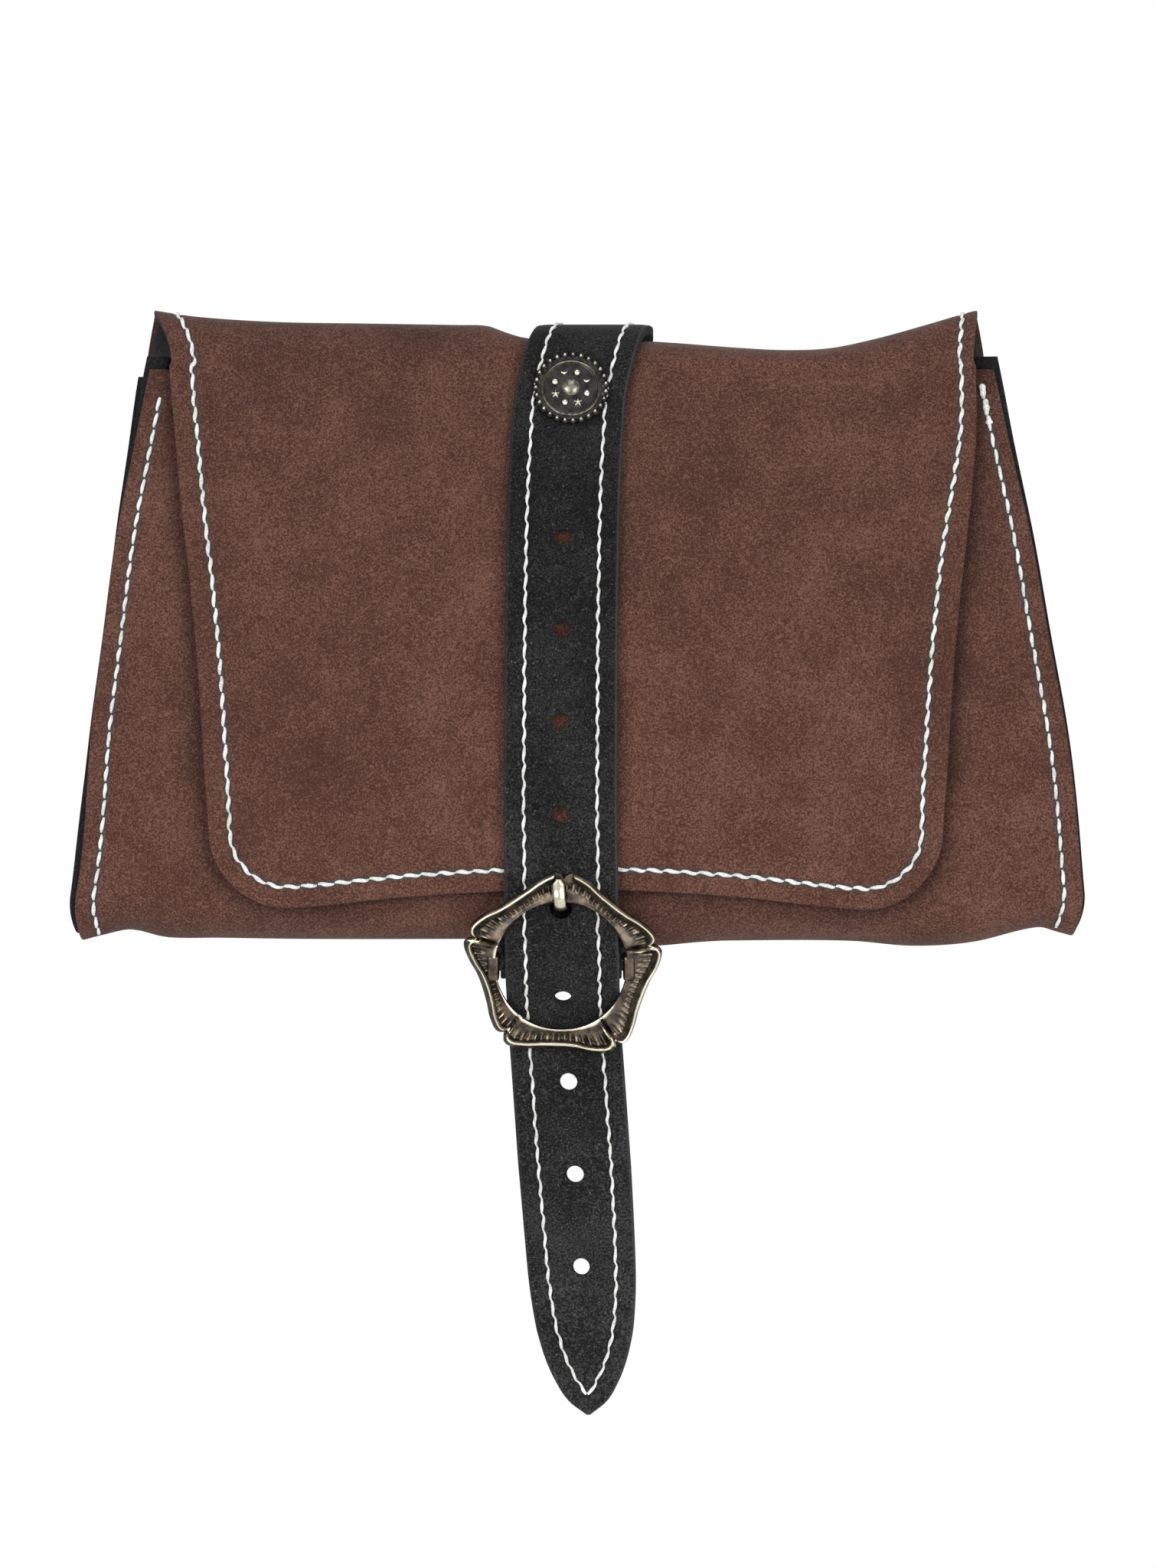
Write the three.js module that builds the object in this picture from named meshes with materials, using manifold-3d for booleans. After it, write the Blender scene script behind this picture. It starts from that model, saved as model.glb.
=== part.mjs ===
// Belt pouch: a suede bag with a fold-over flap, closed by a strap through a five-petal ring buckle.
// Millimetres. +Z is up, the front faces -Y and +X is the wearer's left hand side as seen from the front.
// Every piece is drawn with z = 0 at the bag's bottom and y = 0 at its back face. The whole is then
// moved so that the origin lies at the top of the belt's way behind the strap, where the belt carries it.
import * as THREE from "three";
import { mergeVertices } from "three/addons/utils/BufferGeometryUtils.js";
import Module from "manifold-3d";

const wasm = await Module();
wasm.setup();

// Clearance between pieces that lie on each other
const seatGap = 0.3;

// The bag
const skinWall = 1.6;
const frontHeight = 155;
const mouthDip = 12;
const foldAbove = 0.5;
const foldStart = frontHeight + foldAbove;
const foldRise = 16.5;
const bottomHalfWidth = 135;
const foldHalfWidth = 112.3;
const backTopHalfWidth = 116.6;
const foldShift = -2.8;
const bagDepth = 38;
const frontCornerRadius = 12;
const backCornerRadius = 10;

// The flap
const flapHalfWidth = 109.3;
const flapEdgeHeight = 8;
const flapCornerRadius = 21;
const flapAir = 0.8;
const flapLoft = 1.2;

// The lining
const liningWall = 1.0;
const liningInset = 0.9;

// The gussets
const gussetWall = 1.4;
const gussetMargin = 2.0;
const seamInset = 5;
const gussetFold = 8;
const gussetRise = 1.4;

// The strap
const strapWidth = 30.4;
const strapWall = 3.0;
const strapShift = -3.9;
const strapLean = 10;
const tailSwing = 7.3;
const tailLength = 121.5;
const tipLength = 45;
const tipWidth = 0.8;
const holeDiameter = 4.6;
const holePitch = 25;
const holesAboveTongue = 4;
const holesBelowTongue = 4;
const crownDepth = 2.2;
const loopClearance = 1.4;
const beltSpace = 7;
const beltPassHeight = 60;
const strapSeat = 44;
const rivetEdge = 14;

// The buckle strap
const buckleStrapWall = 1.8;
const buckleStrapEase = 0.35;
const buckleStrapDrop = 14;
const turnBack = 20;

// The buckle
const barRadius = 1.75;
const barDrop = 6.7;
const barReach = 2.0;
const ringSetForward = 3.45;
const ringTilt = 12;
const ringTurn = -2;
const ringClearance = 2.3;
const ringInnerRadius = strapWidth / 2 + ringClearance;
const petalCount = 5;
const petalCornerBand = 9.3;
const petalMiddleBand = 5.1;
const petalCornerRadius = ringInnerRadius + petalCornerBand;
const petalMiddleRadius = ringInnerRadius + petalMiddleBand;
const rimWidth = 2.0;
const innerLipWidth = 0.6;
const petalCrest = 3.2;
const lipHeight = 1.7;
const notchHeight = 1.3;
const notchShare = 0.1;
const lugHeight = 6;
const lugWidth = 3.2;
const lugPlace = ringInnerRadius + lugWidth * 0.2;
const buckleStrapWidth = 2 * (lugPlace - lugWidth / 2 - buckleStrapEase);
const tongueWidth = 3.8;
const tongueWall = 1.6;
const tongueHoleEase = 0.65;
const tongueInset = 3.1;

// The concho
const conchoDrop = 7;
const conchoHeight = foldStart - conchoDrop;
const conchoRadius = 10.5;
const conchoWall = 1.3;
const beadCount = 27;
const beadRadius = 1.05;
const conchoRidgeRadius = 7.6;
const conchoDomeRadius = 2.6;
const motifCount = 8;
const motifRadius = 4.7;
const motifSize = 0.75;

// Rivet and concho share one post
const postRadius = 1.8;
const innerHeadRadius = 4;
const innerHeadWall = 0.7;
const rivetHeadRadius = 5;
const rivetHeadWall = 1.2;

const radians = Math.PI / 180;
const foldLayers = skinWall + seatGap + liningWall + flapAir;

// Half width of the front, as a share of its width at the bottom, by share of the front's height.
const frontWidths = [
  { height: -0.1, width: 0.985 },
  { height: 0.0, width: 0.992 },
  { height: 0.08, width: 1.0 },
  { height: 0.19, width: 0.9926 },
  { height: 0.27, width: 0.983 },
  { height: 0.38, width: 0.968 },
  { height: 0.52, width: 0.9437 },
  { height: 0.7, width: 0.914 },
  { height: 0.87, width: 0.8785 },
  { height: 1.0, width: 0.854 },
  { height: 1.1, width: 0.83 },
];

// Depth of the bag as a share of its depth at the bottom, in the middle and at the side seams.
const depths = [
  { height: 0.0, middle: 1.0, side: 0.76 },
  { height: 0.13, middle: 1.0, side: 0.76 },
  { height: 0.3, middle: 0.95, side: 0.73 },
  { height: 0.5, middle: 0.86, side: 0.68 },
  { height: 0.71, middle: 0.76, side: 0.62 },
  { height: 0.84, middle: 0.68, side: 0.58 },
  { height: 0.935, middle: 0.6, side: 0.54 },
  { height: 1.0, middle: 0.52, side: 0.51 },
  { height: 1.1, middle: 0.44, side: 0.48 },
];

// The fold's rise over its start, as a share of foldRise: pressed down under the strap, up at both ends.
const foldLine = [
  { across: -1.0, rise: 1.0 },
  { across: -0.89, rise: 0.89 },
  { across: -0.7, rise: 0.806 },
  { across: -0.48, rise: 0.78 },
  { across: -0.26, rise: 0.73 },
  { across: -0.17, rise: 0.65 },
  { across: -0.1, rise: 0.54 },
  { across: -0.03, rise: 0.505 },
  { across: 0.1, rise: 0.49 },
  { across: 0.22, rise: 0.473 },
  { across: 0.41, rise: 0.376 },
  { across: 0.53, rise: 0.333 },
  { across: 0.64, rise: 0.364 },
  { across: 0.75, rise: 0.52 },
  { across: 0.86, rise: 0.727 },
  { across: 0.98, rise: 0.97 },
  { across: 1.0, rise: 1.0 },
];

// Rise of the bottom line over the floor of the bag, as a share of the front corner's radius.
const bottomLine = [
  { across: -1.0, rise: 0.0 },
  { across: -0.9, rise: 0.2 },
  { across: -0.72, rise: 0.08 },
  { across: -0.55, rise: 0.02 },
  { across: 0.3, rise: 0.0 },
  { across: 0.55, rise: -0.06 },
  { across: 0.68, rise: -0.12 },
  { across: 0.8, rise: 0.0 },
  { across: 0.93, rise: 0.31 },
  { across: 1.0, rise: 0.25 },
];
const bottomLineReach = 0.4;

// Half width of the flap, as a share of its width at the mouth, by share of the front's height.
const flapWidths = [
  { height: 0.0, width: 0.897 },
  { height: 0.19, width: 0.905 },
  { height: 0.3, width: 0.917 },
  { height: 0.45, width: 0.932 },
  { height: 0.6, width: 0.953 },
  { height: 0.75, width: 0.971 },
  { height: 0.9, width: 0.987 },
  { height: 1.0, width: 1.0 },
];

// Height of the flap's lower edge over its lowest point, as a share of flapEdgeHeight.
const flapEdge = [
  { across: -1.0, rise: 0.0 },
  { across: -0.75, rise: 0.06 },
  { across: -0.45, rise: 0.42 },
  { across: -0.15, rise: 0.62 },
  { across: 0.15, rise: 0.62 },
  { across: 0.45, rise: 0.4 },
  { across: 0.75, rise: 0.0 },
  { across: 1.0, rise: -0.05 },
];

// Width of the strap's pointed end, by share of the tip's length.
const tipShape = [
  { along: 0.0, width: 0.0 },
  { along: 0.082, width: 0.32 },
  { along: 0.196, width: 0.54 },
  { along: 0.31, width: 0.69 },
  { along: 0.42, width: 0.79 },
  { along: 0.535, width: 0.865 },
  { along: 0.76, width: 0.94 },
  { along: 1.0, width: 0.97 },
  { along: 1.5, width: 1.0 },
];

// Outline of a petal: share of the way from its middle's radius to its corner's, by share through it.
const petalOutline = [
  { share: 0.0, radius: 0.6 },
  { share: 0.04, radius: 0.85 },
  { share: 0.1, radius: 1.0 },
  { share: 0.2, radius: 0.68 },
  { share: 0.34, radius: 0.18 },
  { share: 0.5, radius: 0.0 },
  { share: 0.66, radius: 0.18 },
  { share: 0.8, radius: 0.66 },
  { share: 0.9, radius: 1.0 },
  { share: 0.96, radius: 0.85 },
  { share: 1.0, radius: 0.6 },
];

// How far the strap's edges bend back where it passes behind the ring, as a share of crownDepth, by
// distance below the bar as a share of the ring's inner radius.
const crowns = [
  { below: -0.1, bend: 0.0 },
  { below: 0.15, bend: 0.0 },
  { below: 0.24, bend: 0.12 },
  { below: 0.36, bend: 0.6 },
  { below: 0.48, bend: 1.0 },
  { below: 1.0, bend: 0.9 },
  { below: 1.6, bend: 0.5 },
  { below: 2.6, bend: 0.12 },
  { below: 4.0, bend: 0.0 },
];

// How deep the gusset folds in, as a share of gussetFold, by share of the front's height.
const gussetFolds = [
  { height: 0.0, inward: 0.35 },
  { height: 0.4, inward: 0.6 },
  { height: 1.0, inward: 1.0 },
];

// A smooth value through a table's rows: column read where the rows' own position column is at.
function follow(rows, position, column, at) {
  const last = rows.length - 1;
  if (at <= rows[0][position]) return rows[0][column];
  if (at >= rows[last][position]) return rows[last][column];
  const i = rows.findIndex((row) => row[position] > at) - 1;
  const slope = (k) => {
    const before = rows[Math.max(k - 1, 0)];
    const after = rows[Math.min(k + 1, last)];
    return (after[column] - before[column]) / (after[position] - before[position]);
  };
  const step = rows[i + 1][position] - rows[i][position];
  const t = (at - rows[i][position]) / step;
  const from = rows[i][column] + slope(i) * step * t * (1 - t) * (1 - t);
  const to = slope(i + 1) * step * t * t * (t - 1);
  return from + to + (rows[i + 1][column] - rows[i][column]) * t * t * (3 - 2 * t);
}

const mix = (a, b, t) => a + (b - a) * t;
const smooth = (t) => t * t * (3 - 2 * t);
const clamp = (t) => Math.min(Math.max(t, 0), 1);

// Sizes of the bag at a height and at a share across it, from -1 on the left to 1 on the right.
const frontHalfWidth = (z) => bottomHalfWidth * follow(frontWidths, "height", "width", z / frontHeight);
const flapWidthAt = (z) => flapHalfWidth * follow(flapWidths, "height", "width", z / frontHeight);
const foldHeight = (across) => foldRise * follow(foldLine, "across", "rise", across);

function depthAt(z, x) {
  const across = x / frontHalfWidth(z);
  const middle = follow(depths, "height", "middle", z / frontHeight);
  const side = follow(depths, "height", "side", z / frontHeight);
  return bagDepth * mix(side, middle, clamp(1 - across * across));
}

function flapEdgeZ(across) {
  const low = flapEdgeHeight * (1 + follow(flapEdge, "across", "rise", across));
  const reach = (Math.abs(across) - 1) * flapHalfWidth * flapWidths[0].width + flapCornerRadius;
  const inCorner = Math.max(reach, 0);
  return low + flapCornerRadius - Math.sqrt(Math.max(flapCornerRadius ** 2 - inCorner ** 2, 0));
}

// Where the skin lies. The stage's whole number names the stretch and its fraction the share of it:
// 0 front, 1 front corner, 2 bottom, 3 back corner, 4 back, 5 fold, 6 flap. Inward is the depth
// below the skin's outer face.
function skin(stage, across, inward) {
  const stretch = Math.min(Math.max(Math.floor(stage), 0), 6);
  const part = stage - stretch;
  const bottomDepth = depthAt(frontCornerRadius, across * bottomHalfWidth);
  let y = 0;
  let z = 0;
  let half = 0;
  let shift = 0;
  if (stretch === 0) {
    z = mix(frontHeight - mouthDip * (1 - across * across) ** 2, frontCornerRadius, part);
    y = inward - depthAt(z, across * frontHalfWidth(z));
  } else if (stretch === 1) {
    const turn = (part * Math.PI) / 2;
    y = frontCornerRadius - bottomDepth - (frontCornerRadius - inward) * Math.cos(turn);
    z = frontCornerRadius - (frontCornerRadius - inward) * Math.sin(turn);
  } else if (stretch === 2) {
    y = mix(frontCornerRadius - bottomDepth, -backCornerRadius, part);
    z = inward;
  } else if (stretch === 3) {
    const turn = (part * Math.PI) / 2;
    y = (backCornerRadius - inward) * Math.sin(turn) - backCornerRadius;
    z = backCornerRadius - (backCornerRadius - inward) * Math.cos(turn);
  } else if (stretch === 4) {
    y = -inward;
    z = mix(backCornerRadius, foldStart, part);
  } else if (stretch === 5) {
    const turn = part * Math.PI;
    const reach = (depthAt(foldStart, across * flapHalfWidth) + foldLayers) / 2;
    y = (reach - inward) * Math.cos(turn) - reach;
    z = foldStart + (foldHeight(across) - inward) * Math.sin(turn);
  } else {
    const edge = Math.max(Math.abs(across), part);
    const loft = flapLoft * smooth(clamp((1 - edge) * 6)) * smooth(clamp(part * 3));
    z = mix(foldStart, flapEdgeZ(across), part);
    y = inward - depthAt(z, across * flapWidthAt(z)) - foldLayers - loft;
  }
  if (stretch < 5) {
    const lean = stretch < 4 ? 0.35 : 1;
    const upper = smooth(clamp(z / frontHeight));
    const widen = stretch < 4 ? 0 : (backTopHalfWidth - frontHalfWidth(foldStart)) * upper;
    half = frontHalfWidth(z) + widen;
    shift = foldShift * lean * upper;
  } else if (stretch === 5) {
    const top = smooth(clamp(part * 2));
    const down = smooth(clamp(part * 2 - 1));
    half = mix(mix(backTopHalfWidth, foldHalfWidth, top), flapHalfWidth, down);
    shift = foldShift * (1 - down * 0.7);
  } else {
    half = flapWidthAt(z);
    shift = foldShift * 0.3 * (1 - smooth(clamp(part * 6)));
  }
  if (stretch < 5) {
    const nearBottom = smooth(clamp(1 - z / (frontHeight * bottomLineReach)));
    z += frontCornerRadius * follow(bottomLine, "across", "rise", across) * nearBottom;
  }
  return new THREE.Vector3(shift + half * across, y, z);
}

// Solids

const asSolid = (geometry) => {
  const bare = geometry.clone();
  bare.deleteAttribute("normal");
  bare.deleteAttribute("uv");
  const welded = mergeVertices(bare, 1e-4);
  return new wasm.Manifold(
    new wasm.Mesh({
      numProp: 3,
      vertProperties: new Float32Array(welded.attributes.position.array),
      triVerts: new Uint32Array(welded.index.array),
    }),
  );
};

const asGeometry = (solid) => {
  const mesh = solid.getMesh();
  const geometry = new THREE.BufferGeometry();
  geometry.setAttribute("position", new THREE.BufferAttribute(mesh.vertProperties, 3));
  geometry.setIndex(new THREE.BufferAttribute(mesh.triVerts, 1));
  const flat = geometry.toNonIndexed();
  flat.computeVertexNormals();
  return flat;
};

// A closed wall between two faces over one grid: pointAt(row, column, face), face 0 or 1.
function wall(rows, columns, pointAt) {
  const points = [];
  for (let face = 0; face < 2; face += 1)
    for (let i = 0; i <= rows; i += 1)
      for (let j = 0; j <= columns; j += 1) points.push(pointAt(i, j, face));
  const at = (i, j, face) => (face * (rows + 1) + i) * (columns + 1) + j;
  const index = [];
  const quad = (a, b, c, d) => index.push(a, b, c, a, c, d);
  for (let i = 0; i < rows; i += 1)
    for (let j = 0; j < columns; j += 1) {
      quad(at(i, j, 0), at(i, j + 1, 0), at(i + 1, j + 1, 0), at(i + 1, j, 0));
      quad(at(i, j, 1), at(i + 1, j, 1), at(i + 1, j + 1, 1), at(i, j + 1, 1));
    }
  for (let i = 0; i < rows; i += 1) {
    quad(at(i, 0, 0), at(i + 1, 0, 0), at(i + 1, 0, 1), at(i, 0, 1));
    quad(at(i + 1, columns, 0), at(i, columns, 0), at(i, columns, 1), at(i + 1, columns, 1));
  }
  for (let j = 0; j < columns; j += 1) {
    quad(at(0, j + 1, 0), at(0, j, 0), at(0, j, 1), at(0, j + 1, 1));
    quad(at(rows, j, 0), at(rows, j + 1, 0), at(rows, j + 1, 1), at(rows, j, 1));
  }
  return closed(points, index);
}

// A closed mesh from points and triangles, turned so that its faces point out.
function closed(points, index) {
  let volume = 0;
  for (let k = 0; k < index.length; k += 3) {
    const [a, b, c] = [points[index[k]], points[index[k + 1]], points[index[k + 2]]];
    volume += a.dot(new THREE.Vector3().crossVectors(b, c));
  }
  if (volume < 0)
    for (let k = 0; k < index.length; k += 3) [index[k], index[k + 1]] = [index[k + 1], index[k]];
  const geometry = new THREE.BufferGeometry();
  geometry.setAttribute(
    "position",
    new THREE.Float32BufferAttribute(points.flatMap((p) => [p.x, p.y, p.z]), 3),
  );
  geometry.setIndex(index);
  const flat = geometry.toNonIndexed();
  flat.computeVertexNormals();
  return flat;
}

// A strip along a curve in the Y-Z plane, its width along X, with its edges bent back by bendAt.
function strip(curve, rows, columns, widthAt, wallAt, bendAt = () => 0) {
  const length = curve.getLength();
  const frames = [];
  for (let i = 0; i <= rows.length - 1; i += 1) {
    const share = rows[i] / length;
    const point = curve.getPointAt(share);
    const way = curve.getTangentAt(share);
    frames.push({ point, face: new THREE.Vector3(0, way.z, -way.y).normalize(), along: rows[i] });
  }
  return wall(rows.length - 1, columns, (i, j, side) => {
    const { point, face, along } = frames[i];
    const share = (j / columns) * 2 - 1;
    const across = share * (widthAt(along) / 2);
    const off = (side - 0.5) * wallAt(along) + bendAt(point.z) * share * share;
    return point.clone().addScaledVector(face, off).add(new THREE.Vector3(across, 0, 0));
  });
}

// Distances from 0 to length in even steps near the one given.
const evenRows = (length, step) => {
  const count = Math.round(length / step);
  return Array.from({ length: count + 1 }, (_, i) => (length * i) / count);
};

// A round bar from a point along a direction.
function rod(radius, from, direction, length, sides = 16) {
  const geometry = new THREE.CylinderGeometry(radius, radius, length, sides);
  geometry.translate(0, length / 2, 0);
  const turn = new THREE.Quaternion().setFromUnitVectors(new THREE.Vector3(0, 1, 0), direction);
  geometry.applyQuaternion(turn);
  geometry.translate(from.x, from.y, from.z);
  return geometry;
}

// The strap's line, from its tip up the front, over the fold and down the back

const barPlace = new THREE.Vector3(strapShift, -(bagDepth + barReach), -barDrop);
const wrapRadius = barRadius + seatGap + buckleStrapWall;
const overBar = wrapRadius + seatGap + strapWall / 2;
const tilt = Math.tan(ringTilt * radians);

// Y of the ring's back face at a height.
const ringBack = (z) => barPlace.y - ringSetForward - (z - barPlace.z) * tilt;

// Y of the strap's middle where it lies on the flap.
function onFlap(z, across = 0) {
  const part = (foldStart - z) / (foldStart - flapEdgeZ(across));
  return skin(6 + part, across, 0).y - seatGap - strapWall / 2;
}

const behindRail = (z) => ringBack(z) + seatGap + strapWall / 2;
const ringChord = Math.sqrt(ringInnerRadius ** 2 - (strapWidth / 2) ** 2) * Math.cos(ringTilt * radians);
const leaveTurn = 30 * radians;
const archReach = (depthAt(foldStart, 0) + foldLayers) / 2;
const archTop = foldStart + foldHeight(0.04) + loopClearance + strapWall / 2;
const loopY = beltSpace + strapWall / 2;
const seatY = seatGap + buckleStrapWall + seatGap + strapWall / 2;
const passTop = foldStart;
const passBottom = passTop - beltPassHeight;
const tailHang = behindRail(barPlace.z - petalCornerRadius) + 0.6;

const lowerLine = [
  { swing: 1.0, y: tailHang + 1.2, z: -barDrop - tailLength },
  { swing: 0.863, y: tailHang + 1.2, z: -barDrop - tailLength * 0.8 },
  { swing: 0.671, y: tailHang + 1.0, z: -barDrop - tailLength * 0.6 },
  { swing: 0.438, y: tailHang + 0.6, z: -barDrop - tailLength * 0.4 },
  { swing: 0.26, y: tailHang + 0.1, z: -barDrop - tailLength * 0.25 },
  { swing: 0.14, y: tailHang - 0.2, z: -barDrop - ringInnerRadius * 1.05 },
  { swing: 0.07, y: behindRail(-barDrop - ringChord) - 1.5, z: -barDrop - ringChord },
].map((row) => new THREE.Vector3(strapShift + tailSwing * row.swing, row.y, row.z));

const aroundBar = [leaveTurn, leaveTurn / 2, 0, -14 * radians].map(
  (turn) =>
    new THREE.Vector3(
      strapShift * 0.9,
      barPlace.y - overBar * Math.cos(turn),
      barPlace.z - overBar * Math.sin(turn),
    ),
);

const upFront = [
  { lean: 0.0, z: -barDrop + ringChord },
  { lean: 0.0, z: flapEdgeHeight + 1 },
  { lean: 0.0, z: frontHeight * 0.13 },
  { lean: -0.02, z: frontHeight * 0.22 },
  { lean: -0.01, z: frontHeight * 0.35 },
  { lean: 0.02, z: frontHeight * 0.5 },
  { lean: 0.07, z: frontHeight * 0.65 },
  { lean: 0.13, z: frontHeight * 0.78 },
  { lean: 0.21, z: frontHeight * 0.88 },
  { lean: 0.3, z: frontHeight * 0.95 },
].map(
  (row) =>
    new THREE.Vector3(strapShift + strapLean * row.lean, onFlap(Math.max(row.z, flapEdgeHeight * 2)), row.z),
);
upFront[0].y = behindRail(upFront[0].z) + 0.25;

const overFold = [30, 65, 95].map((degrees) => {
  const turn = degrees * radians;
  const rise = archTop - foldStart;
  return new THREE.Vector3(
    strapShift + strapLean * mix(0.4, 0.95, degrees / 90),
    -archReach - (archReach + seatGap + strapWall / 2) * Math.cos(turn),
    foldStart + rise * Math.sin(turn),
  );
});

const downBack = [
  { lean: 1.02, y: loopY * 0.25, z: archTop - strapWall * 0.6 },
  { lean: 1.0, y: loopY * 0.82, z: archTop - beltSpace },
  { lean: 0.92, y: loopY, z: mix(passTop, passBottom, 0.083) },
  { lean: 0.6, y: loopY, z: mix(passTop, passBottom, 0.5) },
  { lean: 0.3, y: loopY, z: mix(passTop, passBottom, 0.9) },
  { lean: 0.22, y: mix(loopY, seatY, 0.35), z: passBottom - strapSeat * 0.045 },
  { lean: 0.17, y: seatY, z: passBottom - strapSeat * 0.25 },
  { lean: 0.12, y: seatY, z: passBottom - strapSeat * 0.5 },
  { lean: 0.08, y: seatY, z: passBottom - strapSeat },
].map((row) => new THREE.Vector3(strapShift + strapLean * row.lean, row.y, row.z));

const strapLine = new THREE.CatmullRomCurve3(
  [...lowerLine, ...aroundBar, ...upFront, ...overFold, ...downBack],
  false,
  "centripetal",
);
strapLine.arcLengthDivisions = 1200;
const strapLength = strapLine.getLength();

// Distance along the strap from its tip at which it first passes a height on the way up.
function strapAlong(z) {
  for (let along = tipLength; along < strapLength; along += 0.25)
    if (strapLine.getPointAt(along / strapLength).z >= z) return along;
  return strapLength;
}

const tongueHoleHeight = ringInnerRadius * Math.cos(ringTilt * radians) - barDrop - 2.2;
const tongueHoleAlong = strapAlong(tongueHoleHeight);
const conchoAlong = strapAlong(conchoHeight);

// A place on the strap with the direction that faces out of it.
function strapPlace(along) {
  const point = strapLine.getPointAt(along / strapLength);
  const way = strapLine.getTangentAt(along / strapLength);
  return { point, out: new THREE.Vector3(0, -way.z, way.y).normalize() };
}

function strapWidthAt(along) {
  return tipWidth + (strapWidth - tipWidth) * follow(tipShape, "along", "width", along / tipLength);
}

// A round cutter that passes well through a wall.
const punch = (radius, { point, out }, reach = 2 * strapWall) =>
  asSolid(rod(radius, point.clone().addScaledVector(out, -reach), out, 2 * reach, 12));

const holeRadius = holeDiameter / 2;
const postHole = postRadius + seatGap;
const concho = strapPlace(conchoAlong);
const rivetHeight = passBottom - strapSeat + rivetEdge;
const rivet = {
  point: new THREE.Vector3(strapShift + strapLean * 0.11, 0, rivetHeight),
  out: new THREE.Vector3(0, 1, 0),
};

function strapGeometry() {
  const tipRows = [0, 1.5, 3.7, 6.2, 9, 13.5, 18.5, 24.5, 34, 45].map((row) => (row / 45) * tipLength);
  const barFrom = strapAlong(-barDrop - ringInnerRadius * 1.3);
  const barTo = strapAlong(flapEdgeHeight);
  const foldFrom = strapAlong(foldStart - 2 * strapWall);
  const foldTo = foldFrom + Math.PI * (archReach + strapWall) + 2 * beltSpace;
  const stretches = [
    [barFrom, 12],
    [barTo, 3],
    [foldFrom, 18],
    [foldTo, 4],
    [strapLength, 10],
  ];
  const rows = [...tipRows];
  for (const [to, step] of stretches) {
    const from = rows[rows.length - 1];
    rows.push(...evenRows(to - from, step).slice(1).map((row) => row + from));
  }
  const bendAt = (z) =>
    z > 0 ? 0 : crownDepth * follow(crowns, "below", "bend", (barPlace.z - z) / ringInnerRadius);
  let solid = asSolid(strip(strapLine, rows, 4, strapWidthAt, () => strapWall, bendAt));
  for (let k = -holesBelowTongue; k <= holesAboveTongue; k += 1) {
    const radius = k === 0 ? holeRadius + tongueHoleEase : holeRadius;
    solid = solid.subtract(punch(radius, strapPlace(tongueHoleAlong + k * holePitch)));
  }
  solid = solid.subtract(punch(postHole, concho));
  solid = solid.subtract(punch(postHole, { ...rivet, point: rivet.point.clone().setY(seatY) }));
  return asGeometry(solid);
}

// The bag's skin: front, bottom, back, fold and flap in one

const flapTurn = [90, 64, 40, 18];
const cornerShare = flapCornerRadius / (flapHalfWidth * flapWidths[0].width);
const cornerColumns = flapTurn.map((turn) => 1 - cornerShare * (1 - Math.sin(turn * radians)));
const middleColumns = [1, 0.8, 0.6, 0.4, 0.2].map((share) => share * (1 - cornerShare));
const columns = [
  ...cornerColumns.map((share) => -share),
  ...middleColumns.map((share) => -share),
  0,
  ...[...middleColumns].reverse(),
  ...[...cornerColumns].reverse(),
];

const frontStages = [0, 0.16, 0.34, 0.52, 0.7, 0.85];
const turnStages = [1, 1.25, 1.5, 1.75, 2, 2.5, 3, 3.25, 3.5, 3.75];
const backStages = [4, 4.2, 4.4, 4.6, 4.8];
const foldStages = [5, 5.12, 5.25, 5.38, 5.5, 5.62, 5.75, 5.88];
const flapStages = [6, 6.07, 6.16, 6.28, 6.42, 6.56, 6.7, 6.83, 6.93, 6.98, 7];
const flapEnd = 0.9999;

function bodyGeometry() {
  const stages = [...frontStages, ...turnStages, ...backStages, ...foldStages, ...flapStages];
  const shell = wall(stages.length - 1, columns.length - 1, (i, j, face) =>
    skin(Math.min(stages[i], 6 + flapEnd), columns[j], face * skinWall),
  );
  const withConcho = asSolid(shell).subtract(punch(postHole, concho, 3 * strapWall));
  return asGeometry(withConcho.subtract(punch(postHole, rivet)));
}

function liningGeometry() {
  const stages = [...foldStages, ...flapStages];
  const outer = skinWall + seatGap;
  const narrow = 1 - liningInset / flapHalfWidth;
  const shorten = liningInset / frontHeight;
  const shell = wall(stages.length - 1, columns.length - 1, (i, j, face) => {
    const stage = stages[i] < 6 ? stages[i] : 6 + (stages[i] - 6) * (flapEnd - shorten);
    return skin(stage, columns[j] * narrow, outer + face * liningWall);
  });
  return asGeometry(asSolid(shell).subtract(punch(postHole, concho, 3 * strapWall)));
}

// A gusset: the side wall with its seam flange round the front, bottom and back

const frontSeam = [1.5, 1.25, 1, ...[...frontStages].reverse()];
const bottomSeam = turnStages.filter((stage) => stage >= 1.5 && stage <= 3.5);

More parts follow.
